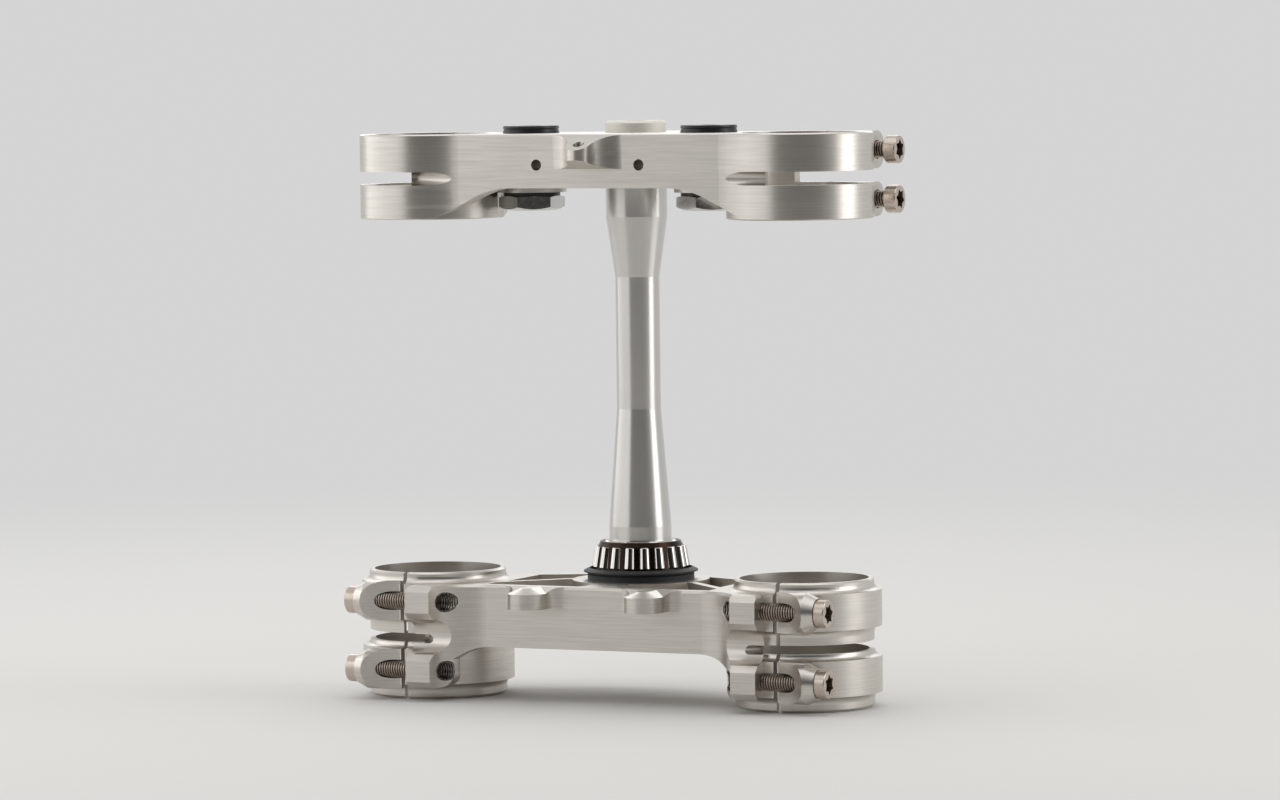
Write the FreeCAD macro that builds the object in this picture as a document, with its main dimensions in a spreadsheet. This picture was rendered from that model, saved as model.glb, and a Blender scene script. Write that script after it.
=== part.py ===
import FreeCAD, Part
import Sketcher
import math
import os

# Motorcycle triple clamp: two machined clamps on a hollow steering stem.
# Frame in mm: the steering axis is X = Y = 0 and +Z is up. The origin is the centre of the
# stem's open lower end. The fork legs stand ahead at -Y, and the rings reach below the origin.

doc = FreeCAD.newDocument("TripleClamp")
sheet = doc.addObject("Spreadsheet::Sheet", "Sizes")

SIZES = (
    # Where the forks and the stem stand
    ("fork_pitch", 190),
    ("fork_offset", 25),
    ("clamp_distance", 166.2),
    # Steering stem, turned and hollow
    ("stem_seat_diameter", 29),
    ("stem_foot_diameter", 29.4),
    ("stem_waist_diameter", 20.8),
    ("stem_hollow", 14),
    ("stem_foot_height", 25.3),
    ("stem_lower_taper", 55.4),
    ("stem_upper_taper", 28.4),
    ("stem_flange_diameter", 34),
    ("stem_flange_height", 3),
    ("stem_thread_diameter", 20),
    ("stem_thread_depth", 24),
    ("stem_thread_run_out", 3),
    # Lower clamp: two rings a side, each a body with a thinner collar
    ("lower_bore", 60),
    ("collar_diameter", 64.8),
    ("body_diameter", 72),
    ("flare_radius", 3),
    ("lip_height", 7.2),
    ("lip_chamfer", 1.2),
    ("lower_body_height", 16.7),
    ("lower_rim_height", 3.1),
    ("ring_gap", 4.2),
    ("under_collar_height", 6.6),
    ("upper_body_height", 16.9),
    ("upper_rim_height", 5.1),
    ("rim_chamfer", 0.8),
    ("gap_tip_inward", 14.6),
    ("gap_tip_ahead", 34.6),
    ("gap_bore_inward", 9.5),
    ("gap_bore_ahead", 28.5),
    ("gap_rear_inward", 11),
    # Lower crossbar
    ("bar_front", 53.6),
    ("bar_rear", 24),
    ("bar_rear_fall", 22),
    ("bar_rear_inward", 4),
    ("bar_boss_diameter", 57),
    ("bar_height", 29.2),
    ("bar_edge_chamfer", 1.2),
    ("arch_flat", 54),
    ("arch_radius", 26),
    ("arch_side", 70.5),
    ("arch_corner", 5),
    ("top_pocket_depth", 5),
    ("top_pocket_corner", 4),
    ("boss_wall", 4),
    ("front_wall", 5.6),
    ("ring_wall", 2),
    ("pocket_inner", 8),
    ("pocket_outer_ahead", 13.8),
    ("pocket_rear_ahead", 6.2),
    ("pocket_rear_height", 3.7),
    ("front_pocket_turn", 22),
    ("rear_pocket_turn", 14),
    ("rear_pocket_top_turn", 29),
    # Lower pinch blocks, lugs and bolts
    ("pinch_axis_ahead", 36.8),
    ("block_front", 70.3),
    ("block_inner", 77.2),
    ("block_outer", 89.75),
    ("block_curve", 22.4),
    ("groove_back", 59.6),
    ("block_half_height", 7.9),
    ("block_chamfer", 3),
    ("upper_pinch_height", 46.8),
    ("lower_pinch_height", 14.5),
    ("lug_radius", 9.5),
    ("lug_face_radius", 33),
    ("lug_root_back", 1.3),
    ("lug_tip_outward", 18.4),
    ("lug_end", 22.8),
    ("lug_end_radius", 7.2),
    ("lug_taper", 5),
    ("lug_seat", 22.05),
    ("seat_diameter", 13.7),
    ("slit_offset", 0.8),
    ("slit_width", 1.9),
    ("thread_relief_diameter", 9.3),
    ("thread_relief_end", 77),
    # Fender tabs on the lower crossbar
    ("tab_spacing", 60),
    ("tab_hole_ahead", 62),
    ("tab_radius", 9),
    ("tab_thickness", 9.8),
    ("tab_edge_height", 7.2),
    ("tab_top_radius", 3),
    ("tab_fillet", 6),
    ("tab_hole_diameter", 5),
    ("tab_hole_depth", 7),
    # Upper clamp
    ("upper_bore", 54),
    ("upper_ring_diameter", 68.4),
    ("upper_height", 39.8),
    ("plate_height", 25.1),
    ("plate_front", 53.6),
    ("plate_rear", 4),
    ("plate_blend", 40),
    ("upper_slot_height", 6.2),
    ("upper_slot_bottom", 16.1),
    ("slot_tip", 72),
    ("slot_meets_bore", 90.5),
    ("slot_depth_at_bore", 51.7),
    ("slot_rear_inner", 82),
    ("edge_chamfer", 0.5),
    ("web_flat", 40),
    ("web_bend", 44),
    ("web_slope_degrees", 27),
    ("web_slope_length", 13.5),
    ("web_depth", 12),
    ("slot_rear_bend", 24),
    ("slot_rear_flare", 4),
    # Upper pinch ears and bolts
    ("ear_behind", 34.4),
    ("ear_face", 24.4),
    ("ear_inner", 20),
    ("upper_slit_offset", 2.2),
    ("upper_slit_width", 1.8),
    ("upper_bolt_gap", 5.3),
    # Front lug and threaded holes of the upper clamp
    ("lug_hole_ahead", 62.5),
    ("lug_tip_radius", 5.9),
    ("lug_fillet", 12),
    ("lug_tip_top", 7.2),
    ("lug_tip_height", 4.6),
    ("lug_root_height", 16.2),
    ("lug_facet_start", 52.5),
    ("lug_root_depth", 8),
    ("lug_hole_diameter", 5.2),
    ("lug_hole_depth", 11.7),
    ("front_hole_spacing", 52.5),
    ("front_hole_drop", 14.3),
    ("front_hole_diameter", 5.2),
    ("front_hole_depth", 14),
    # Clamping of the stem in the upper clamp
    ("stem_boss_radius", 24),
    ("stem_lug_half_width", 17),
    ("stem_lug_rear", 31),
    ("stem_lug_shoulder", 18),
    ("stem_lug_flare", 10),
    ("stem_pinch_behind", 21.5),
    ("stem_slit_width", 2),
    ("stem_lug_seat", 15),
    # Handlebar mounts, one each side
    ("mount_spacing", 92),
    ("mount_ahead", 18),
    ("mount_hole", 22),
    ("mount_boss_diameter", 33),
    ("mount_boss_height", 2.7),
    ("bush_flange_diameter", 26.8),
    ("bush_flange", 3.4),
    ("bush_lower_flange", 1.7),
    ("bush_spigot_length", 12),
    ("bush_spacing", 0.4),
    ("bush_groove_depth", 0.5),
    ("bush_groove_height", 1.87),
    ("bush_bead_height", 2.38),
    ("bush_edge", 0.4),
    ("sleeve_diameter", 15),
    ("sleeve_bore", 12),
    ("nut_across_flats", 27),
    ("nut_height", 5),
    ("nut_cone_height", 1.8),
    ("nut_cone_diameter", 24.6),
    ("nut_corner_spare", 0.2),
    ("nut_bevel_height", 0.7),
    ("nut_bevel", 0.1),
    ("nut_clearance", 0.6),
    # Pinch bolts
    ("bolt_diameter", 8),
    ("bolt_head_diameter", 13),
    ("bolt_head_height", 6),
    ("bolt_length", 37),
    ("bolt_chamfer", 0.8),
    ("socket_core", 5.6),
    ("socket_lobe", 1.9),
    ("socket_lobe_circle", 6),
    ("socket_depth", 3.6),
    ("thread_clearance", 0.1),
    ("bolt_clearance", 0.8),
    ("fit_clearance", 0.04),
    # Bolt that closes the top of the stem
    ("cap_diameter", 28.6),
    ("cap_height", 5.3),
    ("cap_chamfer", 1),
    ("cap_socket_flats", 12),
    ("cap_socket_depth", 3.6),
    ("cap_thread_length", 18),
    # Lower steering bearing
    ("roller_count", 18),
    ("roller_large", 5.6),
    ("roller_small", 5),
    ("roller_length", 10.2),
    ("roller_circle_bottom", 41.1),
    ("roller_circle_top", 38.1),
    ("roller_edge", 0.35),
    ("roller_dimple_diameter", 1.8),
    ("roller_dimple_depth", 0.3),
    ("race_height", 15.8),
    ("race_rib_height", 2.9),
    ("race_rib_diameter", 39.4),
    ("race_top_lip_diameter", 34.4),
    ("race_lip_step", 0.4),
    ("race_lip_chamfer", 0.6),
    ("race_cone_spare", 0.3),
    ("race_clearance", 0.1),
    ("cage_thickness", 1.3),
    ("cage_rim_diameter", 37.8),
    ("cage_rim_height", 2.3),
    ("cage_outset", 0.3),
    ("cage_foot_height", 0.55),
    ("cage_clearance", 0.12),
    # Rubber seal below the bearing
    ("seal_diameter", 50.5),
    ("seal_lip_overhang", 1.8),
    ("seal_lip_low", 0.9),
    ("seal_lip_high", 1.5),
    ("seal_lip_edge", 0.5),
    ("seal_groove_depth", 0.6),
    ("seal_groove_low", 0.2),
    ("seal_groove_high", 0.3),
    ("seal_base", 2.8),
    ("seal_height", 5.5),
    ("seal_wall", 1.15),
)

for row, (alias, number) in enumerate(SIZES, start=1):
    sheet.set(f"A{row}", alias)
    sheet.set(f"B{row}", str(number))
    sheet.setAlias(f"B{row}", alias)
doc.recompute()


class Size:
    """A length that holds its value and the expression that gives it."""

    def __init__(self, value, text):
        self.value = float(value)
        self.text = text

    def __add__(self, other):
        other = as_size(other)
        return Size(self.value + other.value, f"({self.text} + {other.text})")

    def __sub__(self, other):
        other = as_size(other)
        return Size(self.value - other.value, f"({self.text} - {other.text})")

    def __mul__(self, other):
        other = as_size(other)
        return Size(self.value * other.value, f"({self.text} * {other.text})")

    def __truediv__(self, other):
        other = as_size(other)
        return Size(self.value / other.value, f"({self.text} / {other.text})")

    def __neg__(self):
        return Size(-self.value, f"(0 - {self.text})")

    def __radd__(self, other):
        return as_size(other) + self

    def __rsub__(self, other):
        return as_size(other) - self

    def __rmul__(self, other):
        return as_size(other) * self


def as_size(number):
    """A plain number as a Size; a Size comes back as it is."""
    if isinstance(number, Size):
        return number
    return Size(number, f"({float(number)})")


def root(size):
    return Size(math.sqrt(size.value), f"sqrt({size.text})")


def sine(degrees):
    return Size(math.sin(math.radians(degrees.value)), f"sin({degrees.text} * 1deg)")


def cosine(degrees):
    return Size(math.cos(math.radians(degrees.value)), f"cos({degrees.text} * 1deg)")


def get(alias):
    """The size with this name in the sheet."""
    return Size(sheet.get(alias), f"<<Sizes>>.{alias}")


def bind(thing, name, size):
    thing.setExpression(name, as_size(size).text)


def move(thing, x, y, z):
    """Place an object, its base bound to the sizes."""
    for axis, size in zip("xyz", (x, y, z)):
        bind(thing, f"Placement.Base.{axis}", size)


def turn(thing, axis, degrees):
    thing.Placement = FreeCAD.Placement(FreeCAD.Vector(0, 0, 0), FreeCAD.Rotation(axis, degrees))


X_AXIS = FreeCAD.Vector(1, 0, 0)
Y_AXIS = FreeCAD.Vector(0, 1, 0)
Z_AXIS = FreeCAD.Vector(0, 0, 1)
# How far a cut runs past the face that it opens
PAST = 1


def box(name, x, y, z):
    """A box from three (low, high) pairs."""
    shape = doc.addObject("Part::Box", name)
    for side, (low, high) in zip(("Length", "Width", "Height"), (x, y, z)):
        bind(shape, side, as_size(high) - low)
    move(shape, x[0], y[0], z[0])
    return shape


def upright(name, radius, x, y, z):
    """A cylinder along Z, z a (low, high) pair."""
    shape = doc.addObject("Part::Cylinder", name)
    bind(shape, "Radius", radius)
    bind(shape, "Height", as_size(z[1]) - z[0])
    move(shape, x, y, z[0])
    return shape


def crosswise(name, radius, x, y, z):
    """A cylinder along X, x a (low, high) pair."""
    shape = doc.addObject("Part::Cylinder", name)
    turn(shape, Y_AXIS, 90)
    bind(shape, "Radius", radius)
    bind(shape, "Height", as_size(x[1]) - x[0])
    move(shape, x[0], y, z)
    return shape


def lengthwise(name, radius, x, y, z):
    """A cylinder along Y, y a (low, high) pair."""
    shape = doc.addObject("Part::Cylinder", name)
    turn(shape, X_AXIS, -90)
    bind(shape, "Radius", radius)
    bind(shape, "Height", as_size(y[1]) - y[0])
    move(shape, x, y[0], z)
    return shape


def fuse(name, shapes, refine=True):
    """One solid from several; refine joins the faces that run on into each other."""
    result = doc.addObject("Part::MultiFuse", name)
    result.Shapes = shapes
    result.Refine = refine
    return result


def cut(name, base, tool, refine=True):
    result = doc.addObject("Part::Cut", name)
    result.Base = base
    result.Tool = tool
    result.Refine = refine
    return result


def common(name, shapes):
    result = doc.addObject("Part::MultiCommon", name)
    result.Shapes = shapes
    return result


def mirrored(name, source):
    """The same piece on the other side of the plane X = 0."""
    result = doc.addObject("Part::Mirroring", name)
    result.Source = source
    result.Base = (0, 0, 0)
    result.Normal = (1, 0, 0)
    return result


def draw(sketch, path):
    """Fill a sketch with one closed loop.

    Each step of the path is (x, y) for a straight run to that point, or
    (x, y, radius, side) for an arc to it, side +1 when it turns to the left.
    Corners and radii are constraints bound to the sizes.
    """
    points = [(as_size(step[0]), as_size(step[1])) for step in path]
    for index, step in enumerate(path):
        here = FreeCAD.Vector(points[index - 1][0].value, points[index - 1][1].value, 0)
        there = FreeCAD.Vector(points[index][0].value, points[index][1].value, 0)
        if len(step) == 2:
            sketch.addGeometry(Part.LineSegment(here, there))
            continue
        radius = as_size(step[2]).value
        chord = there - here
        side = FreeCAD.Vector(-chord.y, chord.x, 0).normalize() * step[3]
        sagitta = math.sqrt(max(radius ** 2 - (chord.Length / 2) ** 2, 0))
        middle = (here + there) * 0.5 + side * (sagitta - radius)
        sketch.addGeometry(Part.Arc(here, middle, there))
    count = len(path)
    starts = [1 if len(step) == 2 or step[3] > 0 else 2 for step in path]
    for index in range(count):
        after = (index + 1) % count
        end = 3 - starts[index]
        sketch.addConstraint(_coincident(index, end, after, starts[after]))
    for index, step in enumerate(path):
        end = 3 - starts[index]
        for kind, size in zip(("DistanceX", "DistanceY"), points[index]):
            _datum(sketch, kind, (-1, 1, index, end), size)
        if len(step) == 4:
            _datum(sketch, "Radius", (index,), as_size(step[2]))


def _coincident(first, first_end, second, second_end):
    return Sketcher.Constraint("Coincident", first, first_end, second, second_end)


def _datum(sketch, kind, where, size):
    number = sketch.addConstraint(Sketcher.Constraint(kind, *where, size.value))
    sketch.setExpression(f"Constraints[{number}]", size.text)


def prism(name, plane, path, low, high):
    """A closed path drawn in plane XY, XZ or YZ, raised from low to high along the third axis."""
    sketch = doc.addObject("Sketcher::SketchObject", name + "Sketch")
    draw(sketch, path)
    if plane == "XY":
        turn(sketch, Z_AXIS, 0)
        direction = Z_AXIS
        bind(sketch, "Placement.Base.z", low)
    elif plane == "XZ":
        turn(sketch, X_AXIS, 90)
        direction = Y_AXIS
        bind(sketch, "Placement.Base.y", low)
    else:
        turn(sketch, FreeCAD.Vector(1, 1, 1), 120)
        direction = X_AXIS
        bind(sketch, "Placement.Base.x", low)
    shape = doc.addObject("Part::Extrusion", name)
    shape.Base = sketch
    shape.DirMode = "Custom"
    shape.Dir = direction
    shape.Solid = True
    bind(shape, "LengthFwd", as_size(high) - low)
    return shape


def plane_of(body, role):
    return next(feature for feature in body.Origin.OriginFeatures if feature.Role == role)


def edged_plate(name, path, low, high, edge):
    """A plate from its plan, all round its top face an edge chamfer."""
    body = doc.addObject("PartDesign::Body", name)
    sketch = body.newObject("Sketcher::SketchObject", name + "Plan")
    sketch.AttachmentSupport = [(plane_of(body, "XY_Plane"), "")]
    sketch.MapMode = "FlatFace"
    draw(sketch, path)
    pad = body.newObject("PartDesign::Pad", name + "Pad")
    pad.Profile = sketch
    bind(pad, "Length", high - low)
    sketch.Visibility = False
    doc.recompute()
    heights = [face.CenterOfMass.z for face in pad.Shape.Faces]
    top = heights.index(max(heights)) + 1
    chamfer = body.newObject("PartDesign::Chamfer", name + "Edge")
    chamfer.Base = (pad, [f"Face{top}"])
    bind(chamfer, "Size", edge)
    move(body, 0, 0, low)
    return body


def turned(name, path):
    """A body turned about its Z axis, the path drawn as (radius, height) steps."""
    body = doc.addObject("PartDesign::Body", name)
    sketch = body.newObject("Sketcher::SketchObject", name + "Profile")
    sketch.AttachmentSupport = [(plane_of(body, "XZ_Plane"), "")]
    sketch.MapMode = "FlatFace"
    draw(sketch, path)
    spin = body.newObject("PartDesign::Revolution", name + "Turned")
    spin.Profile = sketch
    spin.ReferenceAxis = (sketch, ["V_Axis"])
    spin.Angle = 360
    sketch.Visibility = False
    return body


nodes = []


def node(thing, label):
    """Name a finished piece and list it for export."""
    thing.Label = label
    nodes.append(thing)
    return thing


# Heights and places that several pieces share
fork_x = get("fork_pitch") / 2
fork_y = -get("fork_offset")
body_rise = get("lip_height") + get("lower_body_height") + get("lower_rim_height")
neck_rise = get("ring_gap") + get("under_collar_height") + get("upper_body_height")
rest = get("stem_flange_height") + get("bar_height") - body_rise - neck_rise
lower_body_bottom = rest + get("lip_height")
lower_body_top = lower_body_bottom + get("lower_body_height")
gap_bottom = lower_body_top + get("lower_rim_height")
gap_top = gap_bottom + get("ring_gap")
gap_middle = (gap_bottom + gap_top) / 2
upper_body_bottom = gap_top + get("under_collar_height")
bar_top = upper_body_bottom + get("upper_body_height")
rim_top = bar_top + get("upper_rim_height")
bar_bottom = bar_top - get("bar_height")
upper_bottom = rim_top + get("clamp_distance")
upper_top = upper_bottom + get("upper_height")
plate_bottom = upper_top - get("plate_height")
slot_bottom = upper_bottom + get("upper_slot_bottom")
slot_top = slot_bottom + get("upper_slot_height")
slot_middle = (slot_bottom + slot_top) / 2
lower_pinch_y = fork_y - get("pinch_axis_ahead")
upper_pinch_y = fork_y + get("ear_behind")
upper_pinch_heights = ((slot_top + upper_top) / 2, (upper_bottom + slot_bottom) / 2)
ear_radii = ((upper_top - slot_top) / 2, (slot_bottom - upper_bottom) / 2)
lower_pinch_heights = (rest + get("upper_pinch_height"), rest + get("lower_pinch_height"))
bolt_radius = get("bolt_diameter") / 2
tapped_radius = bolt_radius + get("thread_clearance") / 2
clear_radius = bolt_radius + get("bolt_clearance") / 2
stem_radius = get("stem_seat_diameter") / 2
# Steering bearing, its heights counted from the crossbar's top
race_bottom = bar_top + get("seal_base")
roller_bottom = race_bottom + get("race_rib_height")
roller_rise = get("roller_length")
circle_low = get("roller_circle_bottom") / 2
circle_high = get("roller_circle_top") / 2


def lower_ring_stack():
    """Both rings of one side and the neck between them, solid, turned about the fork axis."""
    collar = get("collar_diameter") / 2
    body = get("body_diameter") / 2
    flare = get("flare_radius")
    shoulder = collar + flare
    chamfer = get("lip_chamfer")
    rim = get("rim_chamfer")
    path = [
        (0, rest),
        (collar - chamfer, rest),
        (collar, rest + chamfer),
        (collar, lower_body_bottom - flare),
        (shoulder, lower_body_bottom, flare, -1),
        (body, lower_body_bottom),
        (body, lower_body_top),
        (shoulder, lower_body_top),
        (collar, lower_body_top + flare, flare, -1),
        (collar, upper_body_bottom - flare),
        (shoulder, upper_body_bottom, flare, -1),
        (body, upper_body_bottom),
        (body, bar_top),
        (shoulder, bar_top),
        (collar, bar_top + flare, flare, -1),
        (collar, rim_top - rim),
        (collar - rim, rim_top),
        (0, rim_top),
    ]
    stack = turned("RingStack", path)
    move(stack, fork_x, fork_y, as_size(0))
    return stack


def lower_block_cuts():
    """What is cut from one side's pinch blocks: the round groove between them and their chamfers."""
    half = get("block_half_height")
    groove = (lower_pinch_heights[0] - lower_pinch_heights[1]) / 2 - half
    groove_z = (lower_pinch_heights[0] + lower_pinch_heights[1]) / 2
    groove_y = -get("groove_back") - groove
    front = -get("block_front")
    inner = get("arch_side") - get("block_curve")
    outer = get("block_outer") + PAST
    pieces = [
        crosswise("Groove", groove, (inner, outer), groove_y, groove_z),
        box("GrooveMouth", (inner, outer), (front - PAST, groove_y),
            (groove_z - groove, groove_z + groove)),
    ]
    chamfer = get("block_chamfer")
    for number, height in enumerate(lower_pinch_heights):
        for edge, sign in (("Over", 1), ("Under", -1)):
            crest = height + half * sign
            path = [
                (front - PAST, crest - (chamfer + PAST) * sign),
                (front + chamfer + PAST, crest + PAST * sign),
                (front - PAST, crest + PAST * sign),
            ]
            pieces.append(prism(f"Block{edge}{number}", "YZ", path, inner, outer))
    return fuse("BlockCuts", pieces)


def crossbar():
    """The bar between the lower rings: its plan and its front view, met in one solid."""
    curve = get("block_curve")
    front = -get("bar_front")
    ahead = curve - (get("block_front") - get("bar_front"))
    rear = get("bar_rear") - get("bar_rear_fall")
    half_plan = [
        (get("block_inner") - root(curve * curve - ahead * ahead), front),
        (get("block_inner"), -get("block_front"), curve, -1),
        (get("block_outer"), -get("block_front")),
        (get("block_outer"), rear),
        (get("arch_side"), rear),
        (get("bar_boss_diameter") / 2 - get("bar_rear_inward"), get("bar_rear")),
    ]
    low = lower_pinch_heights[1] - get("block_half_height")
    plan_solid = edged_plate("BarPlan", both_sides(half_plan), low, bar_top, get("bar_edge_chamfer"))
    reach = get("arch_radius")
    run = get("arch_side") - get("arch_flat")
    drop = reach - root(reach * reach - run * run)
    corner = get("arch_corner")
    half_front = [
        (get("arch_flat"), bar_bottom),
        (get("arch_side"), bar_bottom - drop, reach, -1),
        (get("arch_side"), low + corner),
        (get("arch_side") + corner, low, corner, 1),
        (get("block_outer") + PAST, low),
        (get("block_outer") + PAST, bar_top),
    ]
    behind = get("bar_rear") + PAST
    front_solid = prism("BarFront", "XZ", both_sides(half_front), -get("block_front") - PAST, behind)
    return common("Bar", [plan_solid, front_solid])


def both_sides(half):
    """A closed loop from its right half, given from the middle of one side to the other."""
    left = []
    count = len(half)
    for index in range(count - 1, -1, -1):
        x, y = half[index][0], half[index][1]
        after = half[index + 1] if index + 1 < count else None
        if after is not None and len(after) == 4:
            left.append((-as_size(x), y, after[2], after[3]))
        else:
            left.append((-as_size(x), y))
    return list(half) + left


def fender_tab():
    """One tongue on the front of the crossbar, threaded from below."""
    x = get("tab_spacing") / 2
    y = -get("tab_hole_ahead")
    radius = get("tab_radius")
    fillet = get("tab_fillet")
    front = -get("bar_front")
    root_y = front - fillet
    inside = front + get("front_wall")
    path = [
        (x - radius - fillet, inside),
        (x - radius - fillet, front),
        (x - radius, root_y, fillet, -1),
        (x - radius, y),
        (x, y - radius, radius, 1),
        (x + radius, y, radius, 1),
        (x + radius, root_y),
        (x + radius + fillet, front, fillet, -1),
        (x + radius + fillet, inside),
    ]
    low = bar_top - get("tab_thickness")
    tongue = prism("Tab", "XY", path, low, bar_top)
    dome = doc.addObject("Part::Cone", "TabDome")
    edge_z = low + get("tab_edge_height")
    crown = get("tab_top_radius")
    foot = radius + (radius - crown) / (bar_top - edge_z) * (edge_z - low)
    bind(dome, "Radius1", foot)
    bind(dome, "Radius2", crown)
    bind(dome, "Height", bar_top - low)
    move(dome, x, y, low)
    # The tip's slope runs on along both sides and fades out in the fillets
    ridge = [(x - foot, low), (x - crown, bar_top), (x + crown, bar_top), (x + foot, low)]
    rise = [
        (root_y, low),
        (root_y, edge_z),
        (front, bar_top),
        (inside, bar_top),
        (inside, low),
    ]
    half = radius + fillet
    limits = [
        dome,
        prism("TabRidge", "XZ", ridge, y, inside),
        prism("TabRise", "YZ", rise, x - half, x + half),
    ]
    return common("TabShaped", [tongue, fuse("TabLimit", limits)])


def lower_lug(number, height):
    """An outboard pinch lug: round about the bolt, tapered at its seat, hollowed in front."""
    radius = get("lug_radius")
    end = fork_x + get("lug_end")
    y = lower_pinch_y
    inner = fork_x + get("slit_offset")
    path = [
        (inner, y + get("lug_root_back")),
        (fork_x + get("lug_tip_outward"), y - radius, get("lug_face_radius"), -1),
        (end, y - radius),
        (end, y + radius),
        (inner, y + radius),
    ]
    plan = prism(f"LugPlan{number}", "XY", path, height - radius - PAST, height + radius + PAST)
    barrel = crosswise(f"LugBarrel{number}", radius, (inner - PAST, end - get("lug_taper")), y, height)
    taper = doc.addObject("Part::Cone", f"LugTaper{number}")
    turn(taper, Y_AXIS, 90)
    bind(taper, "Radius1", radius)
    bind(taper, "Radius2", get("lug_end_radius"))
    bind(taper, "Height", get("lug_taper"))
    move(taper, end - get("lug_taper"), y, height)
    return common(f"Lug{number}", [plan, fuse(f"LugRound{number}", [barrel, taper])])


def ring_gap():
    """The level gap between one side's two rings, round at its inner end."""
    radius = get("ring_gap") / 2
    tip = (fork_x - get("gap_tip_inward"), fork_y - get("gap_tip_ahead"))
    bore = (fork_x - get("gap_bore_inward"), fork_y - get("gap_bore_ahead"))
    rear_x = fork_x - get("gap_rear_inward")
    clear = get("body_diameter")
    after = [
        (rear_x, fork_y - get("lower_bore") / 4),
        (rear_x, fork_y + clear),
        (fork_x + clear, fork_y + clear),
        (fork_x + clear, fork_y - clear),
    ]
    return round_ended_slot("RingGap", tip, bore, after, gap_bottom, radius)


def round_ended_slot(name, tip, bore, after, bottom, radius):
    """A level slot whose end runs from an outside tip to a bore, half round in section there.

    The plan goes from the tip to the bore and then through the points in after.
    """
    run = bore[0] - tip[0]
    rise = bore[1] - tip[1]
    length = root(run * run + rise * rise)
    shift_x = rise / length * radius
    shift_y = run / length * radius
    beyond = radius * 4
    start = (tip[0] + shift_x - run / length * beyond, tip[1] - shift_y - rise / length * beyond)
    end = (bore[0] + shift_x, bore[1] - shift_y)
    flat = prism(name + "Flat", "XY", [start, end] + after, bottom, bottom + radius * 2)
    edge = doc.addObject("Part::Cylinder", name + "Edge")
    bind(edge, "Radius", radius)
    bind(edge, "Height", length + beyond)
    along = FreeCAD.Vector(run.value, rise.value, 0)
    edge.Placement = FreeCAD.Placement(FreeCAD.Vector(0, 0, 0), FreeCAD.Rotation(Z_AXIS, along))
    move(edge, start[0], start[1], bottom + radius)
    return fuse(name, [flat, edge])


def lower_clamp():
    right = [fender_tab()]
    holes = [ring_gap()]
    for number, height in enumerate(lower_pinch_heights):
        right.append(lower_lug(number, height))
        slit_x = fork_x + get("slit_offset")
        seat = fork_x + get("lug_seat")
        y = lower_pinch_y
        holes += [
            crosswise(f"Tapped{number}", tapped_radius, (get("thread_relief_end") - PAST, slit_x), y, height),
            crosswise(f"Relief{number}", get("thread_relief_diameter") / 2,
                      (get("thread_relief_end") - get("block_curve"), get("thread_relief_end")), y, height),
            crosswise(f"Clear{number}", clear_radius, (slit_x, seat + PAST), y, height),
            crosswise(f"Seat{number}", get("seat_diameter") / 2, (seat, seat + get("bolt_length")),
                      y, height),
        ]
    slit_x = fork_x + get("slit_offset")
    half_slit = get("slit_width") / 2
    tab_x = get("tab_spacing") / 2
    tab_low = bar_top - get("tab_thickness")
    pocket_heights = (bar_top - get("top_pocket_depth"), bar_top + PAST)
    # The bore is turned in two cuts, one for each ring
    for ring_name, heights in (("Lower", (rest - PAST, gap_middle)), ("Upper", (gap_middle, rim_top + PAST))):
        holes.append(upright(f"{ring_name}RingBore", get("lower_bore") / 2, fork_x, fork_y, heights))
    holes += [
        box("Slit", (slit_x - half_slit, slit_x + half_slit),
            (lower_pinch_y - get("lug_radius") - PAST, fork_y), (rest - PAST, rim_top + PAST)),
        upright("TabHole", get("tab_hole_diameter") / 2, tab_x, -get("tab_hole_ahead"),
                (tab_low - PAST, tab_low + get("tab_hole_depth"))),
        prism("FrontPocket", "XY", front_pocket_path(), *pocket_heights),
        prism("RearPocket", "XY", rear_pocket_path(), *pocket_heights),
    ]
    block = lower_block_cuts()
    shaped = cut("BarShaped", crossbar(), fuse("AllBlockCuts", [block, mirrored("BlockCutsLeft", block)]))
    stack = lower_ring_stack()
    side = fuse("LowerSide", right + [stack])
    boss = upright("StemBoss", get("bar_boss_diameter") / 2, 0, 0, (bar_bottom, bar_top))
    solid = fuse("LowerSolid", [shaped, boss, side, mirrored("LowerSideLeft", side)])
    tools = fuse("LowerTools", holes, refine=False)
    stem_hole = upright("StemHole", stem_radius + get("fit_clearance"), 0, 0,
                        (bar_bottom - PAST, bar_top + PAST))
    everything = fuse("AllLowerTools", [tools, mirrored("LowerToolsLeft", tools), stem_hole], refine=False)
    return node(cut("LowerClamp", solid, everything, refine=False), "lower_clamp")


def on_boss_wall(degrees):
    """The point on the outside of the wall round the stem boss, at this angle from +X."""
    reach = get("bar_boss_diameter") / 2 + get("boss_wall")
    return reach * cosine(degrees), reach * sine(degrees)


def front_pocket_path():
    """The pocket in the crossbar's top between its front wall, the stem boss and the slanted rib."""
    inner = get("pocket_inner")
    front = -get("bar_front") + get("front_wall")
    outer = fork_x - get("body_diameter") / 2 - get("ring_wall")
    corner = get("top_pocket_corner")
    reach = get("bar_boss_diameter") / 2 + get("boss_wall")
    rib_x, rib_y = on_boss_wall(-get("front_pocket_turn"))
    return [
        (inner, front + corner),
        (inner + corner, front, corner, 1),
        (outer, front),
        (outer, fork_y - get("pocket_outer_ahead")),
        (rib_x, rib_y),
        (inner, -root(reach * reach - inner * inner), reach, -1),
    ]


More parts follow.
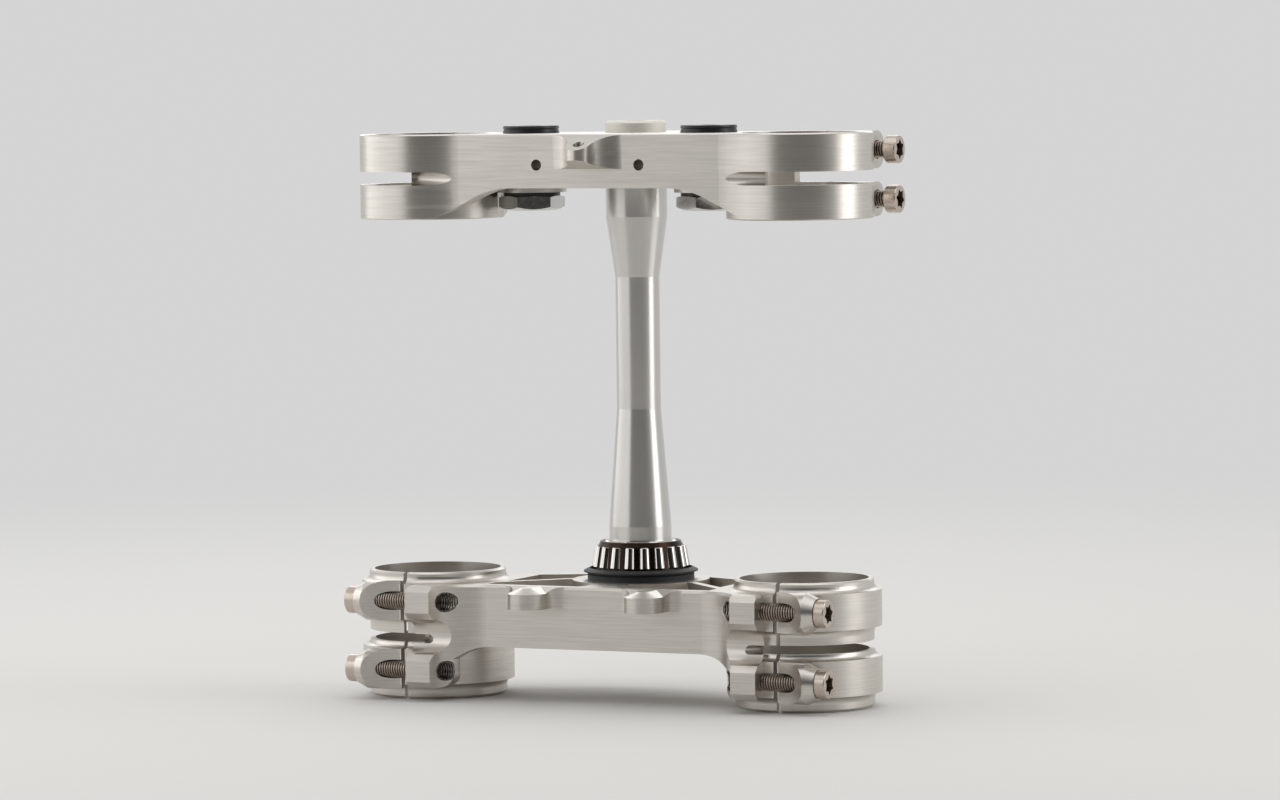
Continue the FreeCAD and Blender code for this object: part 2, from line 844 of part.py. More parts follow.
def rear_pocket_path():
    """The pocket behind the slanted rib, beside the stem boss."""
    outer = fork_x - get("body_diameter") / 2 - get("ring_wall") * 2
    reach = get("bar_boss_diameter") / 2 + get("boss_wall")
    rib_x, rib_y = on_boss_wall(-get("rear_pocket_turn"))
    top_x, top_y = on_boss_wall(get("rear_pocket_top_turn"))
    return [
        (outer, fork_y - get("pocket_rear_ahead")),
        (outer, get("pocket_rear_height")),
        (top_x, top_y),
        (rib_x, rib_y, reach, -1),
    ]


def upper_plan():
    """The upper clamp's plate without its rings, seen from above."""
    ring = get("upper_ring_diameter") / 2
    blend = get("plate_blend")
    front = -get("plate_front")
    reach = ring + blend
    ahead = fork_y - (front - blend)
    side = root(reach * reach - ahead * ahead)
    blend_x = fork_x - side
    touch_x = fork_x - side * ring / reach
    touch_y = fork_y - ahead * ring / reach
    lug = get("stem_lug_half_width")
    half = [
        (blend_x, front),
        (touch_x, touch_y, blend, -1),
        (fork_x, fork_y),
        (fork_x - ring / 2, get("plate_rear")),
        (get("stem_boss_radius") + get("stem_lug_flare"), get("plate_rear")),
        (lug, get("stem_lug_shoulder")),
        (lug, get("stem_lug_rear")),
    ]
    return both_sides(half)


def front_web():
    """The part of the front wall that sweeps down from the plate to the rings."""
    angle = get("web_slope_degrees")
    bend = get("web_bend")
    start = get("web_flat")
    run = get("web_slope_length")
    first_x = start + bend * sine(angle)
    first_z = plate_bottom - bend * (1 - cosine(angle))
    second_x = first_x + run * cosine(angle)
    second_z = first_z - run * sine(angle)
    foot_bend = (second_z - upper_bottom) / (1 - cosine(angle))
    half = [
        (start, plate_bottom + PAST),
        (start, plate_bottom),
        (first_x, first_z, bend, -1),
        (second_x, second_z),
        (second_x + foot_bend * sine(angle), upper_bottom, foot_bend, 1),
        (fork_x, upper_bottom),
        (fork_x, plate_bottom + PAST),
    ]
    ring_front = fork_y - get("upper_ring_diameter") / 2
    return prism("WebProfile", "XZ", half, ring_front - PAST, get("web_depth") - get("plate_front"))


def front_lug():
    """The tongue in the middle of the upper clamp's front, its top falling forward."""
    tip = get("lug_tip_radius")
    fillet = get("lug_fillet")
    y = -get("lug_hole_ahead")
    front = -get("plate_front")
    rise = y - (front - fillet)
    side = root((tip + fillet) * (tip + fillet) - rise * rise)
    touch_x = side * tip / (tip + fillet)
    touch_y = y - rise * tip / (tip + fillet)
    behind = front + get("lug_root_depth")
    path = [
        (-side, behind),
        (-side, front),
        (-touch_x, touch_y, fillet, -1),
        (touch_x, touch_y, tip, 1),
        (side, front, fillet, -1),
        (side, behind),
    ]
    plan = prism("LugPlan", "XY", path, plate_bottom, upper_top)
    nose = y - tip
    top = upper_top - get("lug_tip_top")
    side_view = [
        (behind, upper_top),
        (-get("lug_facet_start"), upper_top),
        (nose, top),
        (nose, top - get("lug_tip_height")),
        (front, upper_top - get("lug_root_height")),
        (behind, upper_top - get("lug_root_height")),
    ]
    profile = prism("LugSide", "YZ", side_view, -side - PAST, side + PAST)
    return common("FrontLug", [plan, profile])


def upper_ears(number, height, radius):
    """One half's pinch ears behind the ring: an outer one and the threaded inner one."""
    face = fork_x + get("ear_face")
    inner = fork_x - get("ear_inner")
    y = upper_pinch_y
    return [
        crosswise(f"Ear{number}", radius, (inner, face), y, height),
        box(f"EarRoot{number}", (inner, face), (fork_y, y), (height - radius, height + radius)),
    ]


def upper_slot():
    """The level slot that parts the two halves of each upper ring."""
    tip = (get("slot_tip"), -get("plate_front"))
    bore = (get("slot_meets_bore"), -get("slot_depth_at_bore"))
    clear = get("upper_ring_diameter")
    after = [
        (get("slot_meets_bore"), fork_y),
        (get("slot_rear_inner"), fork_y + get("slot_rear_bend")),
        (get("slot_rear_inner") - get("slot_rear_flare"), fork_y + clear),
        (fork_x + clear, fork_y + clear),
        (fork_x + clear, fork_y - clear),
    ]
    return round_ended_slot("UpperSlot", tip, bore, after, slot_bottom, get("upper_slot_height") / 2)


def upper_clamp():
    ring = get("upper_ring_diameter") / 2
    edge = get("edge_chamfer")
    ring_body = turned("UpperRing", [
        (0, upper_bottom),
        (ring - edge, upper_bottom),
        (ring, upper_bottom + edge),
        (ring, upper_top - edge),
        (ring - edge, upper_top),
        (0, upper_top),
    ])
    move(ring_body, fork_x, fork_y, 0)
    right = [ring_body]
    mount_x = get("mount_spacing") / 2
    mount_y = -get("mount_ahead")
    boss_bottom = plate_bottom - get("mount_boss_height")
    right.append(upright("MountBoss", get("mount_boss_diameter") / 2, mount_x, mount_y,
                         (boss_bottom, plate_bottom + PAST)))
    plan_path = upper_plan()
    plate = edged_plate("Plate", plan_path, plate_bottom, upper_top, edge)
    low_plan = prism("LowPlan", "XY", plan_path, upper_bottom, plate_bottom + PAST)
    right.append(common("Web", [low_plan, front_web()]))
    slit_x = fork_x + get("upper_slit_offset")
    half_slit = get("upper_slit_width") / 2
    nut_room = get("nut_across_flats") / math.sqrt(3) + get("nut_clearance")
    holes = [
        box("UpperSlit", (slit_x - half_slit, slit_x + half_slit),
            (fork_y, fork_y + get("upper_ring_diameter")), (upper_bottom - PAST, upper_top + PAST)),
        upper_slot(),
        upright("MountHole", get("mount_hole") / 2, mount_x, mount_y, (boss_bottom - PAST, upper_top + PAST)),
        upright("NutRoom", nut_room, mount_x, mount_y, (upper_bottom - PAST, boss_bottom)),
        lengthwise("FrontHole", get("front_hole_diameter") / 2, get("front_hole_spacing") / 2,
                   (-get("plate_front") - PAST, -get("plate_front") + get("front_hole_depth")),
                   upper_top - get("front_hole_drop")),
    ]
    for half_name, heights in (("Lower", (upper_bottom - PAST, slot_middle)),
                               ("Upper", (slot_middle, upper_top + PAST))):
        holes.append(upright(f"{half_name}HalfBore", get("upper_bore") / 2, fork_x, fork_y, heights))
    for number, height in enumerate(upper_pinch_heights):
        right += upper_ears(number, height, ear_radii[number])
        holes += [
            crosswise(f"UpperTapped{number}", tapped_radius, (fork_x - get("ear_inner") - PAST, slit_x),
                      upper_pinch_y, height),
            crosswise(f"UpperClear{number}", clear_radius, (slit_x, fork_x + get("ear_face") + PAST),
                      upper_pinch_y, height),
        ]
    side = fuse("UpperSide", right)
    boss = upright("UpperStemBoss", get("stem_boss_radius"), 0, 0, (plate_bottom, upper_top))
    solid = fuse("UpperSolid", [plate, boss, front_lug(), side, mirrored("UpperSideLeft", side)])
    tools = fuse("UpperTools", holes, refine=False)
    middle_z = (plate_bottom + upper_top) / 2
    pinch_y = get("stem_pinch_behind")
    lug_seat = get("stem_lug_seat")
    half_stem_slit = get("stem_slit_width") / 2
    past_lug = get("stem_boss_radius") + get("stem_lug_flare") + PAST
    centre = fuse("CentreTools", [
        upright("UpperStemHole", stem_radius + get("fit_clearance"), 0, 0,
                (plate_bottom - PAST, upper_top + PAST)),
        box("StemSlit", (-half_stem_slit, half_stem_slit), (0, get("stem_lug_rear") + PAST),
            (plate_bottom - PAST, upper_top + PAST)),
        crosswise("StemTapped", tapped_radius, (-past_lug, 0), pinch_y, middle_z),
        crosswise("StemClear", clear_radius, (0, past_lug), pinch_y, middle_z),
        crosswise("StemSeat", get("seat_diameter") / 2, (lug_seat, past_lug), pinch_y, middle_z),
        upright("LugHole", get("lug_hole_diameter") / 2, 0, -get("lug_hole_ahead"),
                (upper_top - get("lug_hole_depth"), upper_top + PAST)),
    ])
    everything = fuse("AllUpperTools", [tools, mirrored("UpperToolsLeft", tools), centre], refine=False)
    return node(cut("UpperClamp", solid, everything, refine=False), "upper_clamp")


def steering_stem():
    foot = get("stem_foot_diameter") / 2
    waist = get("stem_waist_diameter") / 2
    flange = get("stem_flange_diameter") / 2
    hollow = get("stem_hollow") / 2
    thread = get("stem_thread_diameter") / 2
    foot_top = bar_top + get("stem_foot_height")
    race_top = race_bottom + get("race_height")
    path = [
        (hollow, 0),
        (flange, 0),
        (flange, bar_bottom),
        (stem_radius, bar_bottom),
        (stem_radius, race_top),
        (foot, race_top),
        (foot, foot_top),
        (waist, foot_top + get("stem_lower_taper")),
        (waist, upper_bottom - get("stem_upper_taper")),
        (stem_radius, upper_bottom),
        (stem_radius, upper_top),
        (thread, upper_top),
        (thread, upper_top - get("stem_thread_depth")),
        (hollow, upper_top - get("stem_thread_depth") - get("stem_thread_run_out")),
    ]
    return node(turned("Stem", path), "steering_stem")


def hexagon(name, flats, low, high):
    """A hexagonal prism about the Z axis, flats across X."""
    half = as_size(flats) / 2
    corner = as_size(flats) / math.sqrt(3)
    path = [
        (0, corner),
        (-half, corner / 2),
        (-half, -corner / 2),
        (0, -corner),
        (half, -corner / 2),
        (half, corner / 2),
    ]
    return prism(name, "XY", path, low, high)


def stem_top_bolt():
    head = get("cap_diameter") / 2
    chamfer = get("cap_chamfer")
    thread = get("stem_thread_diameter") / 2 - get("fit_clearance")
    top = get("cap_height")
    path = [
        (0, -get("cap_thread_length")),
        (thread - chamfer, -get("cap_thread_length")),
        (thread, -get("cap_thread_length") + chamfer),
        (thread, 0),
        (head, 0),
        (head, top - chamfer),
        (head - chamfer, top),
        (0, top),
    ]
    body = turned("StemBolt", path)
    socket = hexagon("StemBoltSocket", get("cap_socket_flats"), top - get("cap_socket_depth"), top + PAST)
    bolt = cut("StemTopBolt", body, socket)
    move(bolt, 0, 0, upper_top)
    return node(bolt, "stem_top_bolt")


def pinch_bolt(name):
    """A socket cap bolt along Z, its head above the seat plane Z = 0, with a six-lobed socket."""
    radius = bolt_radius
    head = get("bolt_head_diameter") / 2
    chamfer = get("bolt_chamfer")
    top = get("bolt_head_height")
    path = [
        (0, -get("bolt_length")),
        (radius - chamfer, -get("bolt_length")),
        (radius, -get("bolt_length") + chamfer),
        (radius, 0),
        (head, 0),
        (head, top - chamfer),
        (head - chamfer, top),
        (0, top),
    ]
    body = turned(name + "Turned", path)
    socket_z = (top - get("socket_depth"), top + PAST)
    lobes = [upright(name + "Core", get("socket_core") / 2, 0, 0, socket_z)]
    for index in range(6):
        angle = math.radians(60 * index)
        lobes.append(upright(f"{name}Lobe{index}", get("socket_lobe") / 2,
                             get("socket_lobe_circle") / 2 * math.cos(angle),
                             get("socket_lobe_circle") / 2 * math.sin(angle), socket_z))
    return cut(name, body, fuse(name + "Socket", lobes))


def place_bolt(bolt, side, x, y, z):
    """Lay a bolt along X with its head towards the given side, +1 or -1, its seat at x."""
    turn(bolt, Y_AXIS, 90 * side)
    move(bolt, as_size(x) * side, y, z)


def pinch_bolts():
    heights = (("upper", 0), ("lower", 1))
    for side_name, side in (("right", 1), ("left", -1)):
        for height_name, index in heights:
            bolt = pinch_bolt(f"LowerBolt{side_name}{index}")
            place_bolt(bolt, side, fork_x + get("lug_seat"), lower_pinch_y, lower_pinch_heights[index])
            node(bolt, f"lower_clamp_bolt_{side_name}_{height_name}")
            bolt = pinch_bolt(f"UpperBolt{side_name}{index}")
            seat = fork_x + get("ear_face") + get("upper_bolt_gap")
            place_bolt(bolt, side, seat, upper_pinch_y, upper_pinch_heights[index])
            node(bolt, f"upper_clamp_bolt_{side_name}_{height_name}")
    bolt = pinch_bolt("StemPinchBolt")
    place_bolt(bolt, 1, get("stem_lug_seat"), get("stem_pinch_behind"), (plate_bottom + upper_top) / 2)
    node(bolt, "stem_pinch_bolt")


def race_radius_at(z):
    """The inner race's cone, where the rollers' inner sides run, at height z."""
    low = circle_low - get("roller_large") / 2 - get("race_clearance")
    high = circle_high - get("roller_small") / 2 - get("race_clearance")
    return low + (high - low) * ((as_size(z) - roller_bottom) / roller_rise)


def inner_race():
    bore = stem_radius + get("fit_clearance")
    rib = get("race_rib_diameter") / 2
    lip = get("race_top_lip_diameter") / 2
    top = race_bottom + get("race_height")
    # A roller leans inwards, so its large end dips below its own middle there
    inwards = circle_low - circle_high
    dip = get("roller_large") / 2 * inwards / root(inwards * inwards + roller_rise * roller_rise)
    rib_top = roller_bottom - dip - get("race_clearance")
    cone_top = roller_bottom + roller_rise + get("race_cone_spare")
    lip_edge = get("race_lip_chamfer")
    path = [
        (bore, race_bottom),
        (rib, race_bottom),
        (rib, rib_top),
        (race_radius_at(rib_top), rib_top),
        (race_radius_at(cone_top), cone_top),
        (lip, cone_top + get("race_lip_step")),
        (lip, top - lip_edge),
        (lip - lip_edge, top),
        (bore, top),
    ]
    return node(turned("InnerRace", path), "bearing_inner_race")


def roller_tilt():
    return math.degrees(math.atan2((circle_low - circle_high).value, roller_rise.value))


def roller(index):
    large = get("roller_large") / 2
    small = get("roller_small") / 2
    edge = get("roller_edge")
    dimple = get("roller_dimple_diameter") / 2
    path = [
        (0, get("roller_dimple_depth")),
        (dimple, get("roller_dimple_depth")),
        (dimple, 0),
        (large - edge, 0),
        (large, edge),
        (small, roller_rise - edge),
        (small - edge, roller_rise),
        (0, roller_rise),
    ]
    body = turned(f"Roller{index:02d}", path)
    angle = 360 / get("roller_count").value * index
    lean = FreeCAD.Rotation(Y_AXIS, -roller_tilt())
    body.Placement = FreeCAD.Placement(FreeCAD.Vector(0, 0, 0), FreeCAD.Rotation(Z_AXIS, angle) * lean)
    move(body, circle_low * math.cos(math.radians(angle)), circle_low * math.sin(math.radians(angle)),
         roller_bottom)
    return node(body, f"bearing_roller_{index + 1:02d}")


def bearing_cage():
    """A pressed cone with a window for each roller, open between its foot and its top rim."""
    half = get("cage_thickness") / 2
    foot = roller_bottom - get("cage_foot_height")
    crest = roller_bottom + roller_rise
    rim = get("cage_rim_diameter") / 2
    top = crest + get("cage_rim_height")
    outer = half + get("cage_outset")
    path = [
        (circle_low - half, foot),
        (circle_low + outer, foot),
        (circle_high + outer, crest),
        (rim, top),
        (rim - get("cage_thickness"), top),
        (circle_high - half, crest),
    ]
    shell = turned("CageShell", path)
    windows = []
    count = int(get("roller_count").value)
    spare = get("cage_clearance")
    for index in range(count):
        angle = 360 / count * index
        hole = doc.addObject("Part::Cone", f"Window{index:02d}")
        bind(hole, "Radius1", get("roller_large") / 2 + spare)
        bind(hole, "Radius2", get("roller_small") / 2 + spare)
        bind(hole, "Height", roller_rise + spare * 2)
        lean = FreeCAD.Rotation(Y_AXIS, -roller_tilt())
        hole.Placement = FreeCAD.Placement(FreeCAD.Vector(0, 0, 0), FreeCAD.Rotation(Z_AXIS, angle) * lean)
        move(hole, circle_low * math.cos(math.radians(angle)), circle_low * math.sin(math.radians(angle)),
             roller_bottom - spare)
        windows.append(hole)
    return node(cut("Cage", shell, fuse("Windows", windows)), "bearing_cage")


def dust_seal():
    bore = stem_radius + get("fit_clearance")
    base = get("seal_diameter") / 2
    lip = base + get("seal_lip_overhang")
    well = base - get("seal_wall")
    neck = base - get("seal_groove_depth")
    top = bar_top + get("seal_height")
    floor = bar_top + get("seal_base")
    path = [
        (bore, bar_top),
        (base, bar_top),
        (base, floor - get("seal_groove_low")),
        (neck, floor),
        (neck, floor + get("seal_groove_high")),
        (lip, floor + get("seal_lip_low")),
        (lip, floor + get("seal_lip_high")),
        (well + get("seal_lip_edge"), top),
        (well, top),
        (well, floor),
        (bore, floor),
    ]
    return node(turned("Seal", path), "dust_seal")


def bar_mounts():
    """The rubber bushes, spacer sleeve and nut of both handlebar mounts."""
    flange = get("bush_flange_diameter") / 2
    spigot = get("mount_hole") / 2 - get("fit_clearance")
    bore = get("sleeve_diameter") / 2 + get("fit_clearance")
    length = get("bush_spigot_length")
    thick = get("bush_flange")
    y = -get("mount_ahead")
    boss_bottom = plate_bottom - get("mount_boss_height")
    lower_thick = get("bush_lower_flange")
    sleeve_bottom = boss_bottom - lower_thick
    lower_length = upper_top - boss_bottom - length - get("bush_spacing")
    for side_name, side in (("right", 1), ("left", -1)):
        x = get("mount_spacing") / 2 * side
        upper = turned(f"BushUpper{side_name}", [
            (bore, -length),
            (spigot, -length),
            (spigot, 0),
            (flange, 0),
            (flange - get("bush_groove_depth"), get("bush_groove_height")),
            (flange, get("bush_bead_height")),
            (flange - get("bush_edge"), thick),
            (bore, thick),
        ])
        move(upper, x, y, upper_top)
        node(upper, f"bar_mount_bush_upper_{side_name}")
        lower = turned(f"BushLower{side_name}", [
            (bore, -lower_thick),
            (flange, -lower_thick),
            (flange, 0),
            (spigot, 0),
            (spigot, lower_length),
            (bore, lower_length),
        ])
        move(lower, x, y, boss_bottom)
        node(lower, f"bar_mount_bush_lower_{side_name}")
        sleeve = turned(f"Sleeve{side_name}", [
            (get("sleeve_bore") / 2, 0),
            (get("sleeve_diameter") / 2, 0),
            (get("sleeve_diameter") / 2, upper_top + thick - sleeve_bottom),
            (get("sleeve_bore") / 2, upper_top + thick - sleeve_bottom),
        ])
        move(sleeve, x, y, sleeve_bottom)
        node(sleeve, f"bar_mount_sleeve_{side_name}")
        node(mount_nut(side_name, x, y, sleeve_bottom), f"bar_mount_nut_{side_name}")


def mount_nut(side_name, x, y, top):
    """A thin hexagon with a coned foot."""
    total = get("nut_height") + get("nut_cone_height")
    flats = get("nut_across_flats")
    prism_part = hexagon(f"NutHex{side_name}", flats, -total, 0)
    corner = flats / math.sqrt(3) + get("nut_corner_spare")
    limit = turned(f"NutLimit{side_name}", [
        (0, -total),
        (get("nut_cone_diameter") / 2, -total),
        (corner, -get("nut_height")),
        (corner, -get("nut_bevel_height")),
        (flats / 2 - get("nut_bevel"), 0),
        (0, 0),
    ])
    bore = upright(f"NutBore{side_name}", get("sleeve_bore") / 2, 0, 0, (-total - PAST, PAST))
    nut = cut(f"Nut{side_name}", common(f"NutBlank{side_name}", [prism_part, limit]), bore)
    move(nut, x, y, top)
    return nut


lower_clamp()
upper_clamp()
steering_stem()
stem_top_bolt()
pinch_bolts()
inner_race()
bearing_cage()
for roller_index in range(int(get("roller_count").value)):
    roller(roller_index)
dust_seal()
bar_mounts()

doc.recompute()

for thing in doc.Objects:
    if "Invalid" in thing.State or "Error" in thing.State:
        raise RuntimeError(f"{thing.Name} did not build: {thing.State}")
for piece in nodes:
    if piece.Shape.isNull() or not piece.Shape.isValid():
        raise RuntimeError(f"{piece.Label} has no valid shape")
    if len(piece.Shape.Solids) != 1:
        raise RuntimeError(f"{piece.Label} is {len(piece.Shape.Solids)} solids")

os.makedirs("parts", exist_ok=True)
for piece in nodes:
    piece.Shape.exportStep(f"parts/{piece.Label}.step")
print(f"{len(nodes)} pieces written")
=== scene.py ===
"""Looks of a motorcycle triple clamp: two milled aluminium clamps on a turned steering stem.

The solids come packed and stay where they are. This script gives each of them its finish,
models the threaded fasteners and tapped holes, and sets the camera, the floor and the lamps.
Lengths in the classes are millimetres unless a name says otherwise, and the scene is in metres.
"""

import logging
import math
from collections.abc import Callable
from dataclasses import dataclass
from enum import Enum

import bpy
from mathutils import Matrix, Vector


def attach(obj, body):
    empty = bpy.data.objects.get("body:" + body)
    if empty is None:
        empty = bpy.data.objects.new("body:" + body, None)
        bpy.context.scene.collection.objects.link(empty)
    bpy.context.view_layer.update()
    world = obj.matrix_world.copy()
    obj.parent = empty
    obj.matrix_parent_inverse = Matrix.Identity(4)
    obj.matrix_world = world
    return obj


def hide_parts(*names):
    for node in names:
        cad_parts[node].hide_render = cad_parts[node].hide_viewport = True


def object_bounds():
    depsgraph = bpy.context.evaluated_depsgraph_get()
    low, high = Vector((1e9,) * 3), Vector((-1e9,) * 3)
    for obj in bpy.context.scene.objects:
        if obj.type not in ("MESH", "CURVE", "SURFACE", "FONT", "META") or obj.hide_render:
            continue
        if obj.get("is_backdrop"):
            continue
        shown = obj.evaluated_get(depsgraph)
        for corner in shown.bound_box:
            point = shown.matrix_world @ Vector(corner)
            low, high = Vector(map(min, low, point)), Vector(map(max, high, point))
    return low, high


MM = 0.001
ROOT_BODY = "triple_clamp"
# The attribute that says how deep in the thread a point lies, which the painted shade of thread and socket
# follows.
THREAD_DEPTH = "thread_depth"
# Points nearer than this many metres are one point, and a cut is this fine.
SAME_POINT = 1e-6
# An edge that rises less than this many metres lies level.
LEVEL = 1e-9
# A thread is wound longer than it is needed and starts before its end, to be cut off clean.
SPARE_TURNS = 3
LEAD_IN_TURNS = 1.5
# The range that a noise texture keeps to.
NOISE_RANGE = (0.3, 0.7)
# A quarter of a turn, as a shader counts it.
QUARTER_TURN = 0.25

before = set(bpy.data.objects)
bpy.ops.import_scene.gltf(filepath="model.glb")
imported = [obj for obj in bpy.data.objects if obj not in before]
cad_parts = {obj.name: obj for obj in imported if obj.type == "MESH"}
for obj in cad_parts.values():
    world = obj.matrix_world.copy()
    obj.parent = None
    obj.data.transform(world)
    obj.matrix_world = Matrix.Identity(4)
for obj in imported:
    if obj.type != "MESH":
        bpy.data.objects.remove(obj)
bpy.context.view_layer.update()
log = logging.getLogger("triple_clamp")


class Side(Enum):
    """The two sides of the clamp, with the sign of X on each."""

    RIGHT = 1
    LEFT = -1

    @property
    def word(self) -> str:
        """The side as it stands in the names of the pieces."""
        return self.name.lower()


class Element(Enum):
    """The elements of a mesh that are selected by their place."""

    POINT = "VERT"
    EDGE = "EDGE"


def linear(colour: str) -> tuple[float, float, float, float]:
    """Turn an sRGB hex colour to linear light.

    Args:
        colour: six hex digits after a hash.

    Returns:
        Red, green and blue in linear light, and an alpha of one.
    """
    parts = [int(colour[place:place + 2], 16) / 255 for place in (1, 3, 5)]
    red, green, blue = (
        part / 12.92 if part <= 0.04045 else ((part + 0.055) / 1.055) ** 2.4 for part in parts
    )
    return red, green, blue, 1.0


def add_node(tree: bpy.types.NodeTree, kind: str, settings: dict | None = None,
             links: dict | None = None) -> bpy.types.Node:
    """Add a node with its settings and links.

    Args:
        tree: the node tree that gets it.
        kind: the node's type.
        settings: values by the name of a property, or by the name or number of an input.
        links: output sockets by the name or number of the input that they feed.

    Returns:
        The new node.
    """
    node = tree.nodes.new(kind)
    for key, value in (settings or {}).items():
        if isinstance(key, str) and hasattr(node, key):
            setattr(node, key, value)
        else:
            node.inputs[key].default_value = value
    for key, source in (links or {}).items():
        tree.links.new(source, node.inputs[key])
    return node


@dataclass(frozen=True)
class Finish:
    """A finish: its name, its two shades, how much it is metal and how rough it is.

    The shades mix in soft clouds as large as mottle, and the roughness varies by unevenness.
    """

    name: str
    colour: str
    shade: str
    metallic: float
    roughness: float
    mottle: float = 30.0
    unevenness: float = 0.15

    def material(self) -> bpy.types.Material:
        """Build the material.

        Returns:
            A new material with this finish.
        """
        made = bpy.data.materials.new(self.name)
        made.use_nodes = True
        tree = made.node_tree
        tree.nodes.clear()
        place = add_node(tree, "ShaderNodeTexCoord").outputs["Object"]
        height, wear = self.relief(tree, place)
        rough = add_node(tree, "ShaderNodeMapRange",
                         {"From Min": NOISE_RANGE[0], "From Max": NOISE_RANGE[1],
                          "To Min": self.roughness * (1 - self.unevenness),
                          "To Max": self.roughness * (1 + self.unevenness)}, {"Value": wear}).outputs[0]
        bump = add_node(tree, "ShaderNodeBump", {"Strength": 1.0, "Distance": MM},
                        {"Height": height}).outputs["Normal"]
        shader = add_node(tree, "ShaderNodeBsdfPrincipled", {"Metallic": self.metallic},
                          {"Base Color": self.tone(tree, place), "Roughness": rough, "Normal": bump})
        self.set_shader(tree, shader, place)
        add_node(tree, "ShaderNodeOutputMaterial", None, {"Surface": shader.outputs[0]})
        return made

    def tone(self, tree: bpy.types.NodeTree, place: bpy.types.NodeSocket) -> bpy.types.NodeSocket:
        """Mix the two shades in soft clouds.

        Args:
            tree: the material's node tree.
            place: the object coordinates.

        Returns:
            The colour.
        """
        cloud = add_node(tree, "ShaderNodeTexNoise", {"Scale": 1 / (self.mottle * MM), "Detail": 3.0},
                         {"Vector": place}).outputs["Fac"]
        return add_node(tree, "ShaderNodeMix",
                        {"data_type": "RGBA", 6: linear(self.colour), 7: linear(self.shade)},
                        {0: cloud}).outputs[2]

    def relief(self, tree: bpy.types.NodeTree, place: bpy.types.NodeSocket
               ) -> tuple[bpy.types.NodeSocket, bpy.types.NodeSocket]:
        """Make the surface's relief.

        Args:
            tree: the material's node tree.
            place: the object coordinates.

        Returns:
            The height in millimetres, and a number round a half that varies the roughness.
        """
        raise NotImplementedError

    def set_shader(self, tree: bpy.types.NodeTree, shader: bpy.types.Node,
                   place: bpy.types.NodeSocket) -> None:
        """Set what else this finish needs on the shader.

        Args:
            tree: the material's node tree.
            shader: its shader.
            place: the object coordinates.
        """


